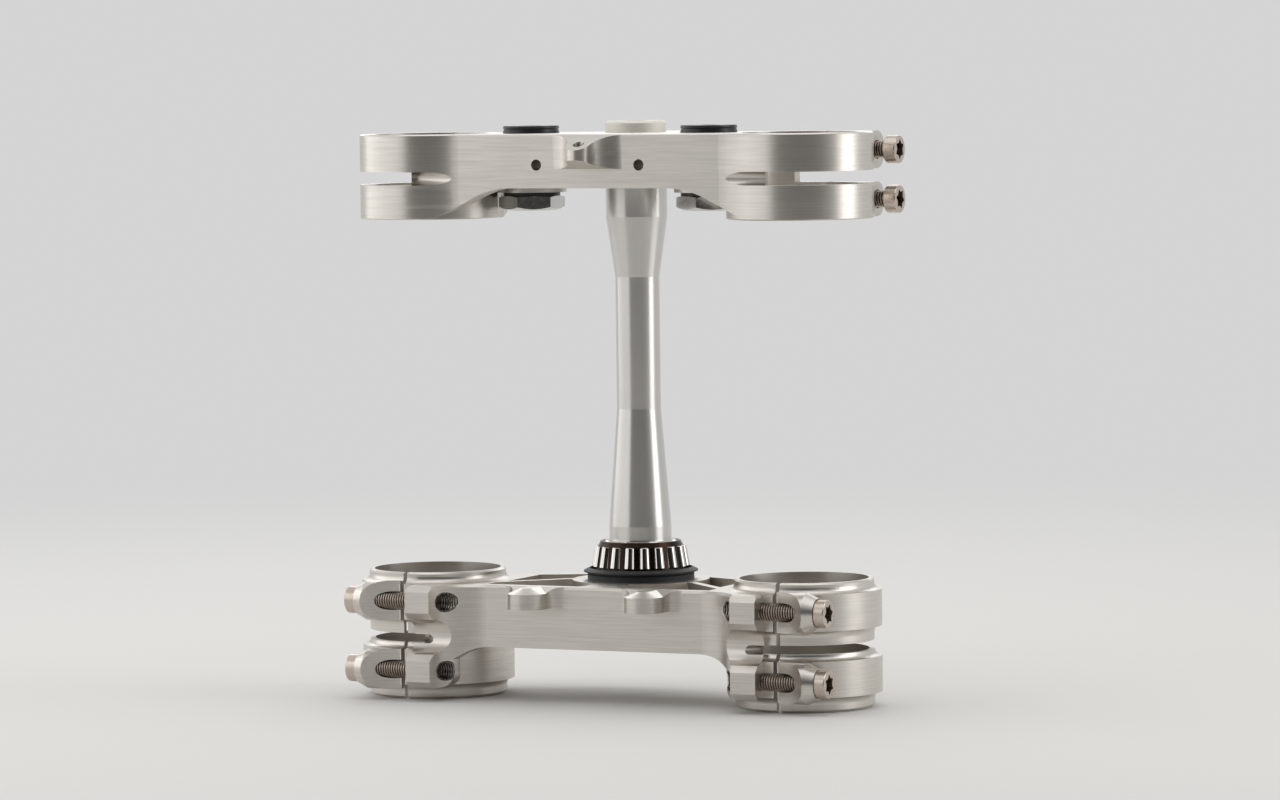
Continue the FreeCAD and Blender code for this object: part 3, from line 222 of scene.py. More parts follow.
@dataclass(frozen=True)
class MilledAluminium(Finish):
    """Aluminium billet, milled and lightly blasted: satin, with faint cutter lines along each face.

    The lines lie level on upright faces and run across on faces that look up or down. Real ones
    are 0.2 mm apart, too fine to show, so they are drawn as coarse as a pixel of the picture.
    """

    line_spacing: float = 0.6
    line_length: float = 22.0
    line_depth: float = 0.009
    line_shade: float = 0.6
    pass_height: float = 7.0
    pass_length: float = 260.0
    grain: float = 0.8
    grain_depth: float = 0.010
    line_contrast: tuple[float, float] = (0.35, 0.65)
    lies_flat: tuple[float, float] = (0.6, 0.9)
    pass_share: float = 0.35

    def cutter_lines(self, tree: bpy.types.NodeTree, place: bpy.types.NodeSocket
                     ) -> bpy.types.NodeSocket:
        """Lay the lines that the cutter leaves, by the way each face looks.

        Args:
            tree: the material's node tree.
            place: the object coordinates.

        Returns:
            A number round a half that runs along the lines.
        """
        along = 1 / (self.line_length * MM)
        across = 1 / (self.line_spacing * MM)
        lines = []
        for scale in ((along, along, across), (along, across, along)):
            laid = add_node(tree, "ShaderNodeMapping", {"Scale": scale}, {"Vector": place}).outputs[0]
            lines.append(add_node(tree, "ShaderNodeTexNoise", {"Scale": 1.0, "Detail": 2.0},
                                  {"Vector": laid}).outputs["Fac"])
        normal = add_node(tree, "ShaderNodeNewGeometry").outputs["True Normal"]
        upward = add_node(tree, "ShaderNodeSeparateXYZ", None, {0: normal}).outputs["Z"]
        level = add_node(tree, "ShaderNodeMath", {"operation": "ABSOLUTE"}, {0: upward}).outputs[0]
        side, top = self.lies_flat
        flat = add_node(tree, "ShaderNodeMapRange", {"From Min": side, "From Max": top},
                        {"Value": level}).outputs[0]
        return add_node(tree, "ShaderNodeMix", {"data_type": "FLOAT"},
                        {0: flat, 2: lines[0], 3: lines[1]}).outputs[0]

    def tone(self, tree: bpy.types.NodeTree, place: bpy.types.NodeSocket) -> bpy.types.NodeSocket:
        """Mix the two shades by the cutter lines and by soft clouds.

        Args:
            tree: the material's node tree.
            place: the object coordinates.

        Returns:
            The colour.
        """
        cloud = add_node(tree, "ShaderNodeTexNoise", {"Scale": 1 / (self.mottle * MM), "Detail": 3.0},
                         {"Vector": place}).outputs["Fac"]
        low, high = self.line_contrast
        lines = add_node(tree, "ShaderNodeMapRange", {"From Min": low, "From Max": high},
                         {"Value": self.cutter_lines(tree, place)}).outputs[0]
        share = add_node(tree, "ShaderNodeMix", {"data_type": "FLOAT", 0: self.line_shade},
                         {2: cloud, 3: lines}).outputs[0]
        return add_node(tree, "ShaderNodeMix",
                        {"data_type": "RGBA", 6: linear(self.colour), 7: linear(self.shade)},
                        {0: share}).outputs[2]

    def relief(self, tree: bpy.types.NodeTree, place: bpy.types.NodeSocket
               ) -> tuple[bpy.types.NodeSocket, bpy.types.NodeSocket]:
        """Lay cutter lines with a fine grain over them, and the wear of each pass.

        Args:
            tree: the material's node tree.
            place: the object coordinates.

        Returns:
            The height in millimetres, and a number round a half that varies the roughness.
        """
        cut = self.cutter_lines(tree, place)
        blasted = add_node(tree, "ShaderNodeTexNoise",
                           {"Scale": 1 / (self.grain * MM), "Detail": 1.0}, {"Vector": place}).outputs["Fac"]
        grain = add_node(tree, "ShaderNodeMath", {"operation": "MULTIPLY", 1: self.grain_depth},
                         {0: blasted}).outputs[0]
        height = add_node(tree, "ShaderNodeMath", {"operation": "MULTIPLY_ADD", 1: self.line_depth},
                          {0: cut, 2: grain}).outputs[0]
        swept = 1 / (self.pass_length * MM)
        stepped = add_node(tree, "ShaderNodeMapping", {"Scale": (swept, swept, 1 / (self.pass_height * MM))},
                           {"Vector": place}).outputs[0]
        passes = add_node(tree, "ShaderNodeTexVoronoi", {"Scale": 1.0}, {"Vector": stepped}).outputs["Color"]
        wear = add_node(tree, "ShaderNodeMix", {"data_type": "FLOAT", 0: self.pass_share},
                        {2: cut, 3: passes}).outputs[0]
        return height, wear


@dataclass(frozen=True)
class TurnedMetal(Finish):
    """Metal turned on a lathe: fine rings round the axis, drawn as coarse as a pixel, and a grain."""

    ring_spacing: float = 0.7
    ring_depth: float = 0.004
    ring_length: float = 200.0
    grain: float = 1.0
    grain_depth: float = 0.003
    stretch: float = 0.75

    def relief(self, tree: bpy.types.NodeTree, place: bpy.types.NodeSocket
               ) -> tuple[bpy.types.NodeSocket, bpy.types.NodeSocket]:
        """Turn rings round the axis, with a fine grain over them.

        Args:
            tree: the material's node tree.
            place: the object coordinates.

        Returns:
            The height in millimetres, and a number round a half that varies the roughness.
        """
        around = 1 / (self.ring_length * MM)
        laid = add_node(tree, "ShaderNodeMapping", {"Scale": (around, around, 1 / (self.ring_spacing * MM))},
                        {"Vector": place}).outputs[0]
        rings = add_node(tree, "ShaderNodeTexNoise", {"Scale": 1.0, "Detail": 2.0},
                         {"Vector": laid}).outputs["Fac"]
        speck = add_node(tree, "ShaderNodeTexNoise", {"Scale": 1 / (self.grain * MM), "Detail": 1.0},
                         {"Vector": place}).outputs["Fac"]
        grain = add_node(tree, "ShaderNodeMath", {"operation": "MULTIPLY", 1: self.grain_depth},
                         {0: speck}).outputs[0]
        height = add_node(tree, "ShaderNodeMath", {"operation": "MULTIPLY_ADD", 1: self.ring_depth},
                          {0: rings, 2: grain}).outputs[0]
        return height, rings

    def set_shader(self, tree: bpy.types.NodeTree, shader: bpy.types.Node,
                   place: bpy.types.NodeSocket) -> None:
        """Stretch what the metal mirrors across the rings, as turned metal does.

        Args:
            tree: the material's node tree.
            shader: its shader.
            place: the object coordinates.
        """
        round_axis = add_node(tree, "ShaderNodeVectorMath", {"operation": "CROSS_PRODUCT", 0: (0, 0, 1)},
                              {1: place}).outputs["Vector"]
        tree.links.new(round_axis, shader.inputs["Tangent"])
        shader.inputs["Anisotropic"].default_value = self.stretch
        shader.inputs["Anisotropic Rotation"].default_value = QUARTER_TURN


@dataclass(frozen=True)
class PlatedSteel(Finish):
    """Steel with a thin plated or ground skin: smooth, with a slight unevenness."""

    grain: float = 1.5
    grain_depth: float = 0.004

    def relief(self, tree: bpy.types.NodeTree, place: bpy.types.NodeSocket
               ) -> tuple[bpy.types.NodeSocket, bpy.types.NodeSocket]:
        """Make the soft unevenness of the skin.

        Args:
            tree: the material's node tree.
            place: the object coordinates.

        Returns:
            The height in millimetres, and a number round a half that varies the roughness.
        """
        uneven = add_node(tree, "ShaderNodeTexNoise", {"Scale": 1 / (self.grain * MM), "Detail": 2.0},
                          {"Vector": place}).outputs["Fac"]
        height = add_node(tree, "ShaderNodeMath", {"operation": "MULTIPLY", 1: self.grain_depth},
                          {0: uneven}).outputs[0]
        return height, uneven


@dataclass(frozen=True)
class ThreadedMetal(PlatedSteel):
    """The smooth metal of a threaded piece, with painted shade that darkens the roots of its thread.

    The piece's mesh says by its attribute how deep in the thread a point lies, from 0 to 1.
    """

    # The colour of the painted shade in the roots of the thread, and how much of it the deepest root gets.
    root_shade: str = "#3B332D"
    darkening: float = 0.92

    def tone(self, tree: bpy.types.NodeTree, place: bpy.types.NodeSocket) -> bpy.types.NodeSocket:
        """Mix the two shades, with painted shade darker towards the roots of the thread.

        Args:
            tree: the material's node tree.
            place: the object coordinates.

        Returns:
            The colour.
        """
        # Painted shade: the deeper a point lies in the thread, the more of the dark colour it gets.
        depth = add_node(tree, "ShaderNodeAttribute", {"attribute_name": THREAD_DEPTH}).outputs["Fac"]
        share = add_node(tree, "ShaderNodeMath", {"operation": "MULTIPLY", 1: self.darkening},
                         {0: depth}).outputs[0]
        clean = super().tone(tree, place)
        return add_node(tree, "ShaderNodeMix", {"data_type": "RGBA", 7: linear(self.root_shade)},
                        {0: share, 6: clean}).outputs[2]


@dataclass(frozen=True)
class MouldedRubber(Finish):
    """Moulded rubber: dark, with the fine eroded skin of its mould."""

    pores: float = 0.7
    pore_depth: float = 0.03
    specular: float = 0.4

    def relief(self, tree: bpy.types.NodeTree, place: bpy.types.NodeSocket
               ) -> tuple[bpy.types.NodeSocket, bpy.types.NodeSocket]:
        """Make the grain that the mould leaves.

        Args:
            tree: the material's node tree.
            place: the object coordinates.

        Returns:
            The height in millimetres, and a number round a half that varies the roughness.
        """
        skin = add_node(tree, "ShaderNodeTexNoise", {"Scale": 1 / (self.pores * MM), "Detail": 3.0},
                        {"Vector": place}).outputs["Fac"]
        height = add_node(tree, "ShaderNodeMath", {"operation": "MULTIPLY", 1: self.pore_depth},
                          {0: skin}).outputs[0]
        return height, skin

    def set_shader(self, tree: bpy.types.NodeTree, shader: bpy.types.Node,
                   place: bpy.types.NodeSocket) -> None:
        """Set how much the rubber shines.

        Args:
            tree: the material's node tree; not used.
            shader: its shader.
            place: the object coordinates; not used.
        """
        shader.inputs["Specular IOR Level"].default_value = self.specular


# Aluminium billet, milled and lightly blasted: a soft silver, with faint level lines.
MILLED = MilledAluminium("milled_aluminium", "#DAD5CE", "#C9C4BD", 1.0, 0.33, unevenness=0.12)
# The same aluminium where a tap has cut it, its colours darker than the clamps' as painted shade inside the
# holes: bright crests over roots darkened with painted shade.
TAPPED = ThreadedMetal("tapped_aluminium", "#A9A49D", "#96918A", 1.0, 0.26, mottle=4.0,
                       root_shade="#1B1917", darkening=0.95)
# Turned aluminium tube: smoother than the clamps, with highlights stretched along the tube.
TURNED = TurnedMetal("turned_aluminium", "#D6D4D0", "#CCCAC6", 1.0, 0.30, unevenness=0.06)
# Aluminium cap, blasted after it was turned: pale and matt.
CAP = TurnedMetal("blasted_stem_cap", "#EFECE5", "#E6E3DC", 1.0, 0.70, unevenness=0.08, stretch=0.0)
# Cap bolts of nickel plated steel: warm and half bright, with painted shade in thread and socket.
BOLT_STEEL = ThreadedMetal("nickel_plated_bolt_steel", "#D3C8BE", "#BBADA1", 1.0, 0.30, mottle=6.0,
                           grain_depth=0.0012)
# Polished steel nuts: they mirror what is round them.
NUT_STEEL = PlatedSteel("polished_nut_steel", "#D4D3D0", "#C8C7C4", 1.0, 0.16, mottle=10.0)
# Ground bearing steel: the brightest mirror of all, on rollers and race.
ROLLER_STEEL = PlatedSteel("ground_roller_steel", "#D9D6D1", "#CBC7C1", 1.0, 0.10, mottle=8.0)
# Plain turned steel of the spacer sleeves: grey and half bright.
SLEEVE_STEEL = TurnedMetal("turned_sleeve_steel", "#A9A8A6", "#999896", 1.0, 0.32)
# Pressed steel cage with brown oil on it: dark, with a wet gleam.
CAGE_STEEL = PlatedSteel("oiled_cage_steel", "#35271F", "#211812", 0.9, 0.28, mottle=5.0)
# Nitrile rubber of the dust seal, moulded: dark grey and dull.
SEAL_RUBBER = MouldedRubber("seal_rubber", "#2C2D30", "#212225", 0.0, 0.55, mottle=12.0)
# Natural rubber of the bushes, moulded: near black, with a slight gloss.
BUSH_RUBBER = MouldedRubber("bush_rubber", "#141517", "#1C1D1F", 0.0, 0.35, mottle=8.0)


def dress(node: str, material: bpy.types.Material) -> None:
    """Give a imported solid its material.

    Args:
        node: the solid's name.
        material: what all its faces get.
    """
    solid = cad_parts[node]
    if not solid.material_slots:
        solid.data.materials.append(material)
    for place in solid.material_slots:
        place.material = material
    log.info("%s wears %s", node, material.name)


def clear_selection() -> None:
    """Leave edit mode and deselect everything."""
    if bpy.context.object and bpy.context.object.mode != "OBJECT":
        bpy.ops.object.mode_set(mode="OBJECT")
    bpy.ops.object.select_all(action="DESELECT")


def make_active(piece: bpy.types.Object) -> None:
    """Select one piece alone and make it the active one.

    Args:
        piece: the piece.
    """
    clear_selection()
    piece.select_set(True)
    bpy.context.view_layer.objects.active = piece


def edit(piece: bpy.types.Object, kind: Element = Element.POINT) -> None:
    """Open a piece in edit mode with nothing selected.

    Args:
        piece: the piece to open.
        kind: what can be selected in it.
    """
    make_active(piece)
    bpy.ops.object.mode_set(mode="EDIT")
    bpy.ops.mesh.select_mode(type=kind.value)
    bpy.ops.mesh.select_all(action="DESELECT")


def edit_all(piece: bpy.types.Object) -> None:
    """Open a piece in edit mode with all of it selected."""
    edit(piece)
    bpy.ops.mesh.select_all(action="SELECT")


def choose(piece: bpy.types.Object, kind: Element, test: Callable[..., bool]) -> None:
    """Select the points or edges of a piece that pass a test, in edit mode.

    Args:
        piece: the piece.
        kind: whether points or edges are selected.
        test: takes a point's place, or an edge's middle and its run from end to end.
    """
    edit(piece, kind)
    bpy.ops.object.mode_set(mode="OBJECT")
    mesh = piece.data
    if kind is Element.POINT:
        for point in mesh.vertices:
            point.select = bool(test(point.co))
    else:
        for side in mesh.edges:
            first, second = (mesh.vertices[number].co for number in side.vertices)
            side.select = bool(test((first + second) / 2, second - first))
    bpy.ops.object.mode_set(mode="EDIT")


def apply(piece: bpy.types.Object, kind: str, **settings: object) -> None:
    """Add a modifier to a piece and apply it.

    Args:
        piece: the piece that is shaped.
        kind: the modifier's type.
        settings: the modifier's own settings.
    """
    make_active(piece)
    modifier = piece.modifiers.new(kind.lower(), kind)
    for name, value in settings.items():
        setattr(modifier, name, value)
    bpy.ops.object.modifier_apply(modifier=modifier.name)


def face_outwards(piece: bpy.types.Object) -> None:
    """Merge doubles and turn all faces outwards.

    Args:
        piece: the piece.
    """
    edit_all(piece)
    bpy.ops.mesh.remove_doubles(threshold=SAME_POINT)
    bpy.ops.mesh.normals_make_consistent(inside=False)
    bpy.ops.object.mode_set(mode="OBJECT")


def helix(profile: list[tuple[float, float]], turns: int, steps: int) -> bpy.types.Object:
    """Wind a thread's profile round the Z axis.

    Args:
        profile: (radius, height) corners over one pitch, in millimetres.
        turns: how many times it goes round.
        steps: straight pieces in a turn.

    Returns:
        The wound surface, open at its two ends.
    """
    clear_selection()
    half_plane = MM
    bpy.ops.mesh.primitive_plane_add(size=2 * half_plane, location=(0, 0, 0))
    piece = bpy.context.object
    edit(piece)
    bpy.ops.object.mode_set(mode="OBJECT")
    for point in piece.data.vertices[1:]:
        point.select = True
    bpy.ops.object.mode_set(mode="EDIT")
    bpy.ops.mesh.delete(type="VERT")
    bpy.ops.mesh.select_all(action="SELECT")
    radius, height = profile[0]
    bpy.ops.transform.translate(value=(radius * MM + half_plane, half_plane, height * MM))
    for corner in profile[1:]:
        step = ((corner[0] - radius) * MM, 0, (corner[1] - height) * MM)
        bpy.ops.mesh.extrude_vertices_move(TRANSFORM_OT_translate={"value": step})
        radius, height = corner
    bpy.ops.object.mode_set(mode="OBJECT")
    pitch = profile[-1][1] - profile[0][1]
    apply(piece, "SCREW", axis="Z", angle=2 * math.pi, screw_offset=pitch * MM, iterations=turns,
          steps=steps, render_steps=steps, use_merge_vertices=False)
    edit_all(piece)
    bpy.ops.mesh.remove_doubles(threshold=SAME_POINT)
    bpy.ops.object.mode_set(mode="OBJECT")
    return piece


def trim(piece: bpy.types.Object, height: float, upwards: bool, close: bool) -> None:
    """Cut a piece off level at a height.

    Args:
        piece: the piece that is cut.
        height: where, in millimetres.
        upwards: whether what lies above goes.
        close: whether the cut is closed with a face.
    """
    edit_all(piece)
    bpy.ops.mesh.bisect(plane_co=(0, 0, height * MM), plane_no=(0, 0, 1 if upwards else -1),
                        use_fill=close, clear_outer=True)
    bpy.ops.object.mode_set(mode="OBJECT")


def score(piece: bpy.types.Object, height: float) -> None:
    """Cut an edge loop round a piece at a height, so that a round edge's shading stops there.

    Args:
        piece: the piece that gets it.
        height: where, in millimetres.
    """
    edit_all(piece)
    bpy.ops.mesh.bisect(plane_co=(0, 0, height * MM), plane_no=(0, 0, 1), threshold=SAME_POINT)
    bpy.ops.object.mode_set(mode="OBJECT")


def set_in_place(piece: bpy.types.Object, name: str, matrix: Matrix) -> bpy.types.Object:
    """Copy a piece with its own mesh and set it in place, its object at the origin.

    Args:
        piece: the pattern that is copied.
        name: the copy's name.
        matrix: where it goes.

    Returns:
        The copy.
    """
    copy = bpy.data.objects.new(name, piece.data.copy())
    copy.data.name = name
    bpy.context.collection.objects.link(copy)
    copy.data.transform(matrix)
    copy.data.update()
    return copy


@dataclass
class SocketBolt:
    """An M8 cap bolt with a star socket, threaded along its whole shank, seat at Z = 0.

    A turn of the thread is root, flank, crest and flank. Their ends are shares of the pitch.
    """

    diameter: float = 8.0
    pitch: float = 1.25
    thread_depth: float = 0.72
    root_end: float = 0.2
    crest_start: float = 0.54
    crest_end: float = 0.68
    into_head: float = 0.5
    length: float = 37.0
    head_diameter: float = 13.0
    head_height: float = 6.0
    head_sides: int = 72
    head_edge: float = 0.55
    seat_edge: float = 0.3
    edge_margin: float = 0.1
    star_tip: float = 4.9
    star_valley: float = 3.2
    star_depth: float = 3.6
    star_corners: int = 12
    star_edge: float = 0.55
    star_past: float = 1.0
    floor_spare: float = 0.1
    # How much painted shade the floor of the star socket gets.
    socket_shade: float = 0.85
    turn_steps: int = 30
    smooth_angle: float = 28.0

    def shank(self) -> bpy.types.Object:
        """Wind the threaded shank and close both its ends.

        Returns:
            The shank, with the depth in the thread at each point.
        """
        crest = self.diameter / 2
        base = crest - self.thread_depth
        shape = [(base, 0.0), (base, self.root_end), (crest, self.crest_start), (crest, self.crest_end),
                 (base, 1.0)]
        turns = math.ceil(self.length / self.pitch) + SPARE_TURNS
        piece = helix([(radius, share * self.pitch) for radius, share in shape], turns, self.turn_steps)
        start = -(self.length + LEAD_IN_TURNS * self.pitch)
        piece.data.transform(Matrix.Translation((0, 0, start * MM)))
        trim(piece, -self.length, False, True)
        trim(piece, self.into_head, True, True)
        face_outwards(piece)
        depth = piece.data.attributes.new(THREAD_DEPTH, "FLOAT", "POINT")
        for point, value in zip(piece.data.vertices, depth.data):
            radius = math.hypot(point.co.x, point.co.y) / MM
            value.value = min(1.0, max(0.0, (crest - radius) / self.thread_depth))
        return piece

    def star(self) -> bpy.types.Object:
        """Make the solid that leaves the star socket.

        Returns:
            The solid, which stands a little out of the crown.
        """
        clear_selection()
        depth = self.star_depth + self.star_past
        bpy.ops.mesh.primitive_cylinder_add(
            vertices=self.star_corners, radius=self.star_tip * MM, depth=depth * MM,
            location=(0, 0, (self.head_height + self.star_past - depth / 2) * MM))
        piece = bpy.context.object
        bpy.ops.object.transform_apply(location=True, rotation=True, scale=True)
        step = math.tau / self.star_corners
        choose(piece, Element.POINT, lambda at: round(math.atan2(at.x, at.y) / step) % 2 == 1)
        share = self.star_valley / self.star_tip
        bpy.ops.transform.resize(value=(share, share, 1), center_override=(0, 0, 0))
        choose(piece, Element.EDGE, lambda at, run: abs(run.z) > abs(run.x) + abs(run.y))
        bpy.ops.mesh.bevel(offset=self.star_edge * MM, segments=4, affect="EDGES")
        bpy.ops.object.mode_set(mode="OBJECT")
        return piece

    def head(self) -> bpy.types.Object:
        """Shape the head with its rounded crown and its star socket.

        Returns:
            The closed head.
        """
        clear_selection()
        bpy.ops.mesh.primitive_cylinder_add(
            vertices=self.head_sides, radius=self.head_diameter / 2 * MM, depth=self.head_height * MM,
            location=(0, 0, self.head_height / 2 * MM))
        piece = bpy.context.object
        bpy.ops.object.transform_apply(location=True, rotation=True, scale=True)
        crown = self.head_height * MM
        choose(piece, Element.EDGE, lambda at, run: at.z > crown - SAME_POINT and abs(run.z) < LEVEL)
        bpy.ops.mesh.bevel(offset=self.head_edge * MM, segments=3, affect="EDGES")
        choose(piece, Element.EDGE, lambda at, run: at.z < SAME_POINT and abs(run.z) < LEVEL)
        bpy.ops.mesh.bevel(offset=self.seat_edge * MM, segments=2, affect="EDGES")
        bpy.ops.object.mode_set(mode="OBJECT")
        star = self.star()
        apply(piece, "BOOLEAN", operation="DIFFERENCE", object=star, solver="EXACT")
        bpy.data.objects.remove(star)
        score(piece, self.seat_edge + self.edge_margin)
        score(piece, self.head_height - self.head_edge - self.edge_margin)
        self.mark_socket(piece)
        return piece

    def mark_socket(self, piece: bpy.types.Object) -> None:
        """Paint shade on the floor of the star socket, as dark as in the roots of the thread.

        Args:
            piece: the head with its socket.
        """
        # Painted shade: the socket's floor gets a share of the dark root colour.
        depth = piece.data.attributes.new(THREAD_DEPTH, "FLOAT", "POINT")
        floor = self.head_height - self.star_depth
        for point, value in zip(piece.data.vertices, depth.data):
            on_floor = abs(point.co.z / MM - floor) < self.floor_spare
            value.value = self.socket_shade if on_floor else 0.0

    def build(self) -> bpy.types.Object:
        """Join head and shank in one pattern piece.

        Returns:
            The bolt, its head up and its seat at the origin.
        """
        shank = self.shank()
        head = self.head()
        clear_selection()
        shank.select_set(True)
        head.select_set(True)
        bpy.context.view_layer.objects.active = head
        bpy.ops.object.join()
        head.name = "bolt_pattern"
        face_outwards(head)
        make_active(head)
        bpy.ops.object.shade_smooth_by_angle(angle=math.radians(self.smooth_angle))
        return head


@dataclass
class PinchBolts:
    """All the pinch bolts, laid along X with their heads outwards, each screwed round differently."""

    bolt: SocketBolt
    lower_seat: float = 117.05
    lower_ahead: float = 61.8
    lower_heights: tuple[float, float] = (24.3, -8.0)
    upper_seat: float = 124.7
    upper_behind: float = 9.4
    upper_heights: tuple[float, float] = (234.55, 211.55)
    stem_seat: float = 15.0
    stem_behind: float = 21.5
    stem_height: float = 230.75
    first_spin: float = 10.0
    spin_step: float = 23.0
    upper_spin: float = 17.0

    def lay(self, pattern: bpy.types.Object, node: str, side: Side, place: tuple[float, float, float],
            spin: float, material: bpy.types.Material) -> None:
        """Set one bolt in the place of its solid.

        Args:
            pattern: the bolt that is copied.
            node: the solid that it replaces.
            side: where its head points.
            place: the middle of its seat.
            spin: how far it is screwed round, in degrees.
            material: its finish.
        """
        outwards = Matrix.Rotation(side.value * math.pi / 2, 4, "Y")
        turn = outwards @ Matrix.Rotation(math.radians(spin), 4, "Z")
        piece = set_in_place(pattern, node + "_threaded", Matrix.Translation(Vector(place) * MM) @ turn)
        piece.data.materials.clear()
        piece.data.materials.append(material)
        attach(piece, ROOT_BODY)
        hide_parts(node)
        log.info("%s stands for %s", piece.name, node)

    def build(self) -> None:
        """Make the pattern once and lay all nine bolts."""
        pattern = self.bolt.build()
        steel = BOLT_STEEL.material()
        spin = self.first_spin
        for side in Side:
            for word, low, high in zip(("upper", "lower"), self.lower_heights, self.upper_heights):
                self.lay(pattern, f"lower_clamp_bolt_{side.word}_{word}", side,
                         (self.lower_seat * side.value, -self.lower_ahead, low), spin, steel)
                self.lay(pattern, f"upper_clamp_bolt_{side.word}_{word}", side,
                         (self.upper_seat * side.value, self.upper_behind, high),
                         spin + self.upper_spin, steel)
                spin += self.spin_step
        self.lay(pattern, "stem_pinch_bolt", Side.RIGHT,
                 (self.stem_seat, self.stem_behind, self.stem_height), spin, steel)
        bpy.data.objects.remove(pattern)


@dataclass
class TappedHoles:
    """The thread that shows where the pinch bolts' holes break out through the curved blocks.

    Each is a thin threaded shell that lines the hole, cut off along the block's curved face.
    """

    pitch: float = 1.25
    crest: float = 4.1
    root: float = 4.68
    crest_start: float = 0.42
    crest_end: float = 0.58
    wall: float = 0.2
    ahead: float = 61.8
    heights: tuple[float, float] = (24.3, -8.0)
    starts: tuple[float, float] = (60.0, 70.7)
    end: float = 77.3
    curve: float = 22.4
    curve_middle: tuple[float, float] = (55.54, -76.0)
    sink: float = 0.12
    tool_sides: int = 128
    tool_length: float = 80.0
    tool_height: float = 10.0
    turn_steps: int = 36
    smooth_angle: float = 30.0

    def shell(self, length: float) -> bpy.types.Object:
        """Wind a threaded shell along Z from zero up.

        Args:
            length: its length.

        Returns:
            The closed shell.
        """
        shape = [(self.root, 0.0), (self.crest, self.crest_start), (self.crest, self.crest_end),
                 (self.root, 1.0)]
        turns = math.ceil(length / self.pitch) + SPARE_TURNS
        piece = helix([(radius, share * self.pitch) for radius, share in shape], turns, self.turn_steps)
        piece.data.transform(Matrix.Translation((0, 0, -LEAD_IN_TURNS * self.pitch * MM)))
        trim(piece, 0.0, False, False)
        trim(piece, length, True, False)
        face_outwards(piece)
        apply(piece, "SOLIDIFY", thickness=self.wall * MM, offset=1.0, use_even_offset=False)
        face_outwards(piece)
        return piece

    def mark_depth(self, piece: bpy.types.Object, height: float) -> None:
        """Say at each point of a shell in its place how deep in the thread it lies.

        Args:
            piece: the shell.
            height: how high its axis lies.
        """
        depth = piece.data.attributes.new(THREAD_DEPTH, "FLOAT", "POINT")
        for point, value in zip(piece.data.vertices, depth.data):
            radius = math.hypot(point.co.y / MM + self.ahead, point.co.z / MM - height)
            value.value = min(1.0, max(0.0, (radius - self.crest) / (self.root - self.crest)))

    def block_face(self) -> bpy.types.Object:
        """Make the round bar that has the block's curved face, to cut with.

        Returns:
            The bar, upright.
        """
        clear_selection()
        x, y = self.curve_middle
        bpy.ops.mesh.primitive_cylinder_add(
            vertices=self.tool_sides, radius=(self.curve + self.sink) * MM,
            depth=self.tool_length * MM, location=(x * MM, y * MM, self.tool_height * MM))
        tool = bpy.context.object
        bpy.ops.object.transform_apply(location=True, rotation=True, scale=True)
        return tool

    def build(self) -> None:
        """Line the four holes."""
        aluminium = TAPPED.material()
        for word, start, height in zip(("upper", "lower"), self.starts, self.heights):
            pattern = self.shell(self.end - start)
            lay = Matrix.Translation(Vector((start, -self.ahead, height)) * MM) @ Matrix.Rotation(
                math.pi / 2, 4, "Y")
            right = set_in_place(pattern, f"tapped_hole_right_{word}", lay)
            bpy.data.objects.remove(pattern)
            tool = self.block_face()
            apply(right, "BOOLEAN", operation="DIFFERENCE", object=tool, solver="EXACT")
            bpy.data.objects.remove(tool)
            self.mark_depth(right, height)
            left = set_in_place(right, f"tapped_hole_left_{word}", Matrix.Diagonal((-1, 1, 1, 1)))
            for piece in (right, left):
                face_outwards(piece)
                make_active(piece)
                bpy.ops.object.shade_smooth_by_angle(angle=math.radians(self.smooth_angle))
                piece.data.materials.clear()
                piece.data.materials.append(aluminium)
                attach(piece, ROOT_BODY)
                log.info("%s lines its hole with %d faces", piece.name, len(piece.data.polygons))


@dataclass
class Clamps:
    """The two milled clamps."""

    nodes: tuple[str, str] = ("lower_clamp", "upper_clamp")

    def build(self) -> None:
        """Dress both clamps."""
        material = MILLED.material()
        for node in self.nodes:
            dress(node, material)


@dataclass
class Stem:
    """The turned steering stem and the cap that closes it."""

    def build(self) -> None:
        """Dress the stem and its cap."""
        dress("steering_stem", TURNED.material())
        dress("stem_top_bolt", CAP.material())


@dataclass
class LowerBearing:
    """The taper roller bearing and the seal below it."""

    rollers: int = 18

    def build(self) -> None:
        """Dress race, cage, rollers and seal."""
        steel = ROLLER_STEEL.material()
        dress("bearing_inner_race", steel)
        for number in range(self.rollers):
            dress(f"bearing_roller_{number + 1:02d}", steel)
        dress("bearing_cage", CAGE_STEEL.material())
        dress("dust_seal", SEAL_RUBBER.material())


@dataclass
class BarMounts:
    """The handlebar mounts: rubber bushes, spacer sleeves and nuts."""

    def build(self) -> None:
        """Dress both mounts."""
        rubber = BUSH_RUBBER.material()
        sleeve = SLEEVE_STEEL.material()
        nut = NUT_STEEL.material()
        for side in Side:
            dress(f"bar_mount_bush_upper_{side.word}", rubber)
            dress(f"bar_mount_bush_lower_{side.word}", rubber)
            dress(f"bar_mount_sleeve_{side.word}", sleeve)
            dress(f"bar_mount_nut_{side.word}", nut)


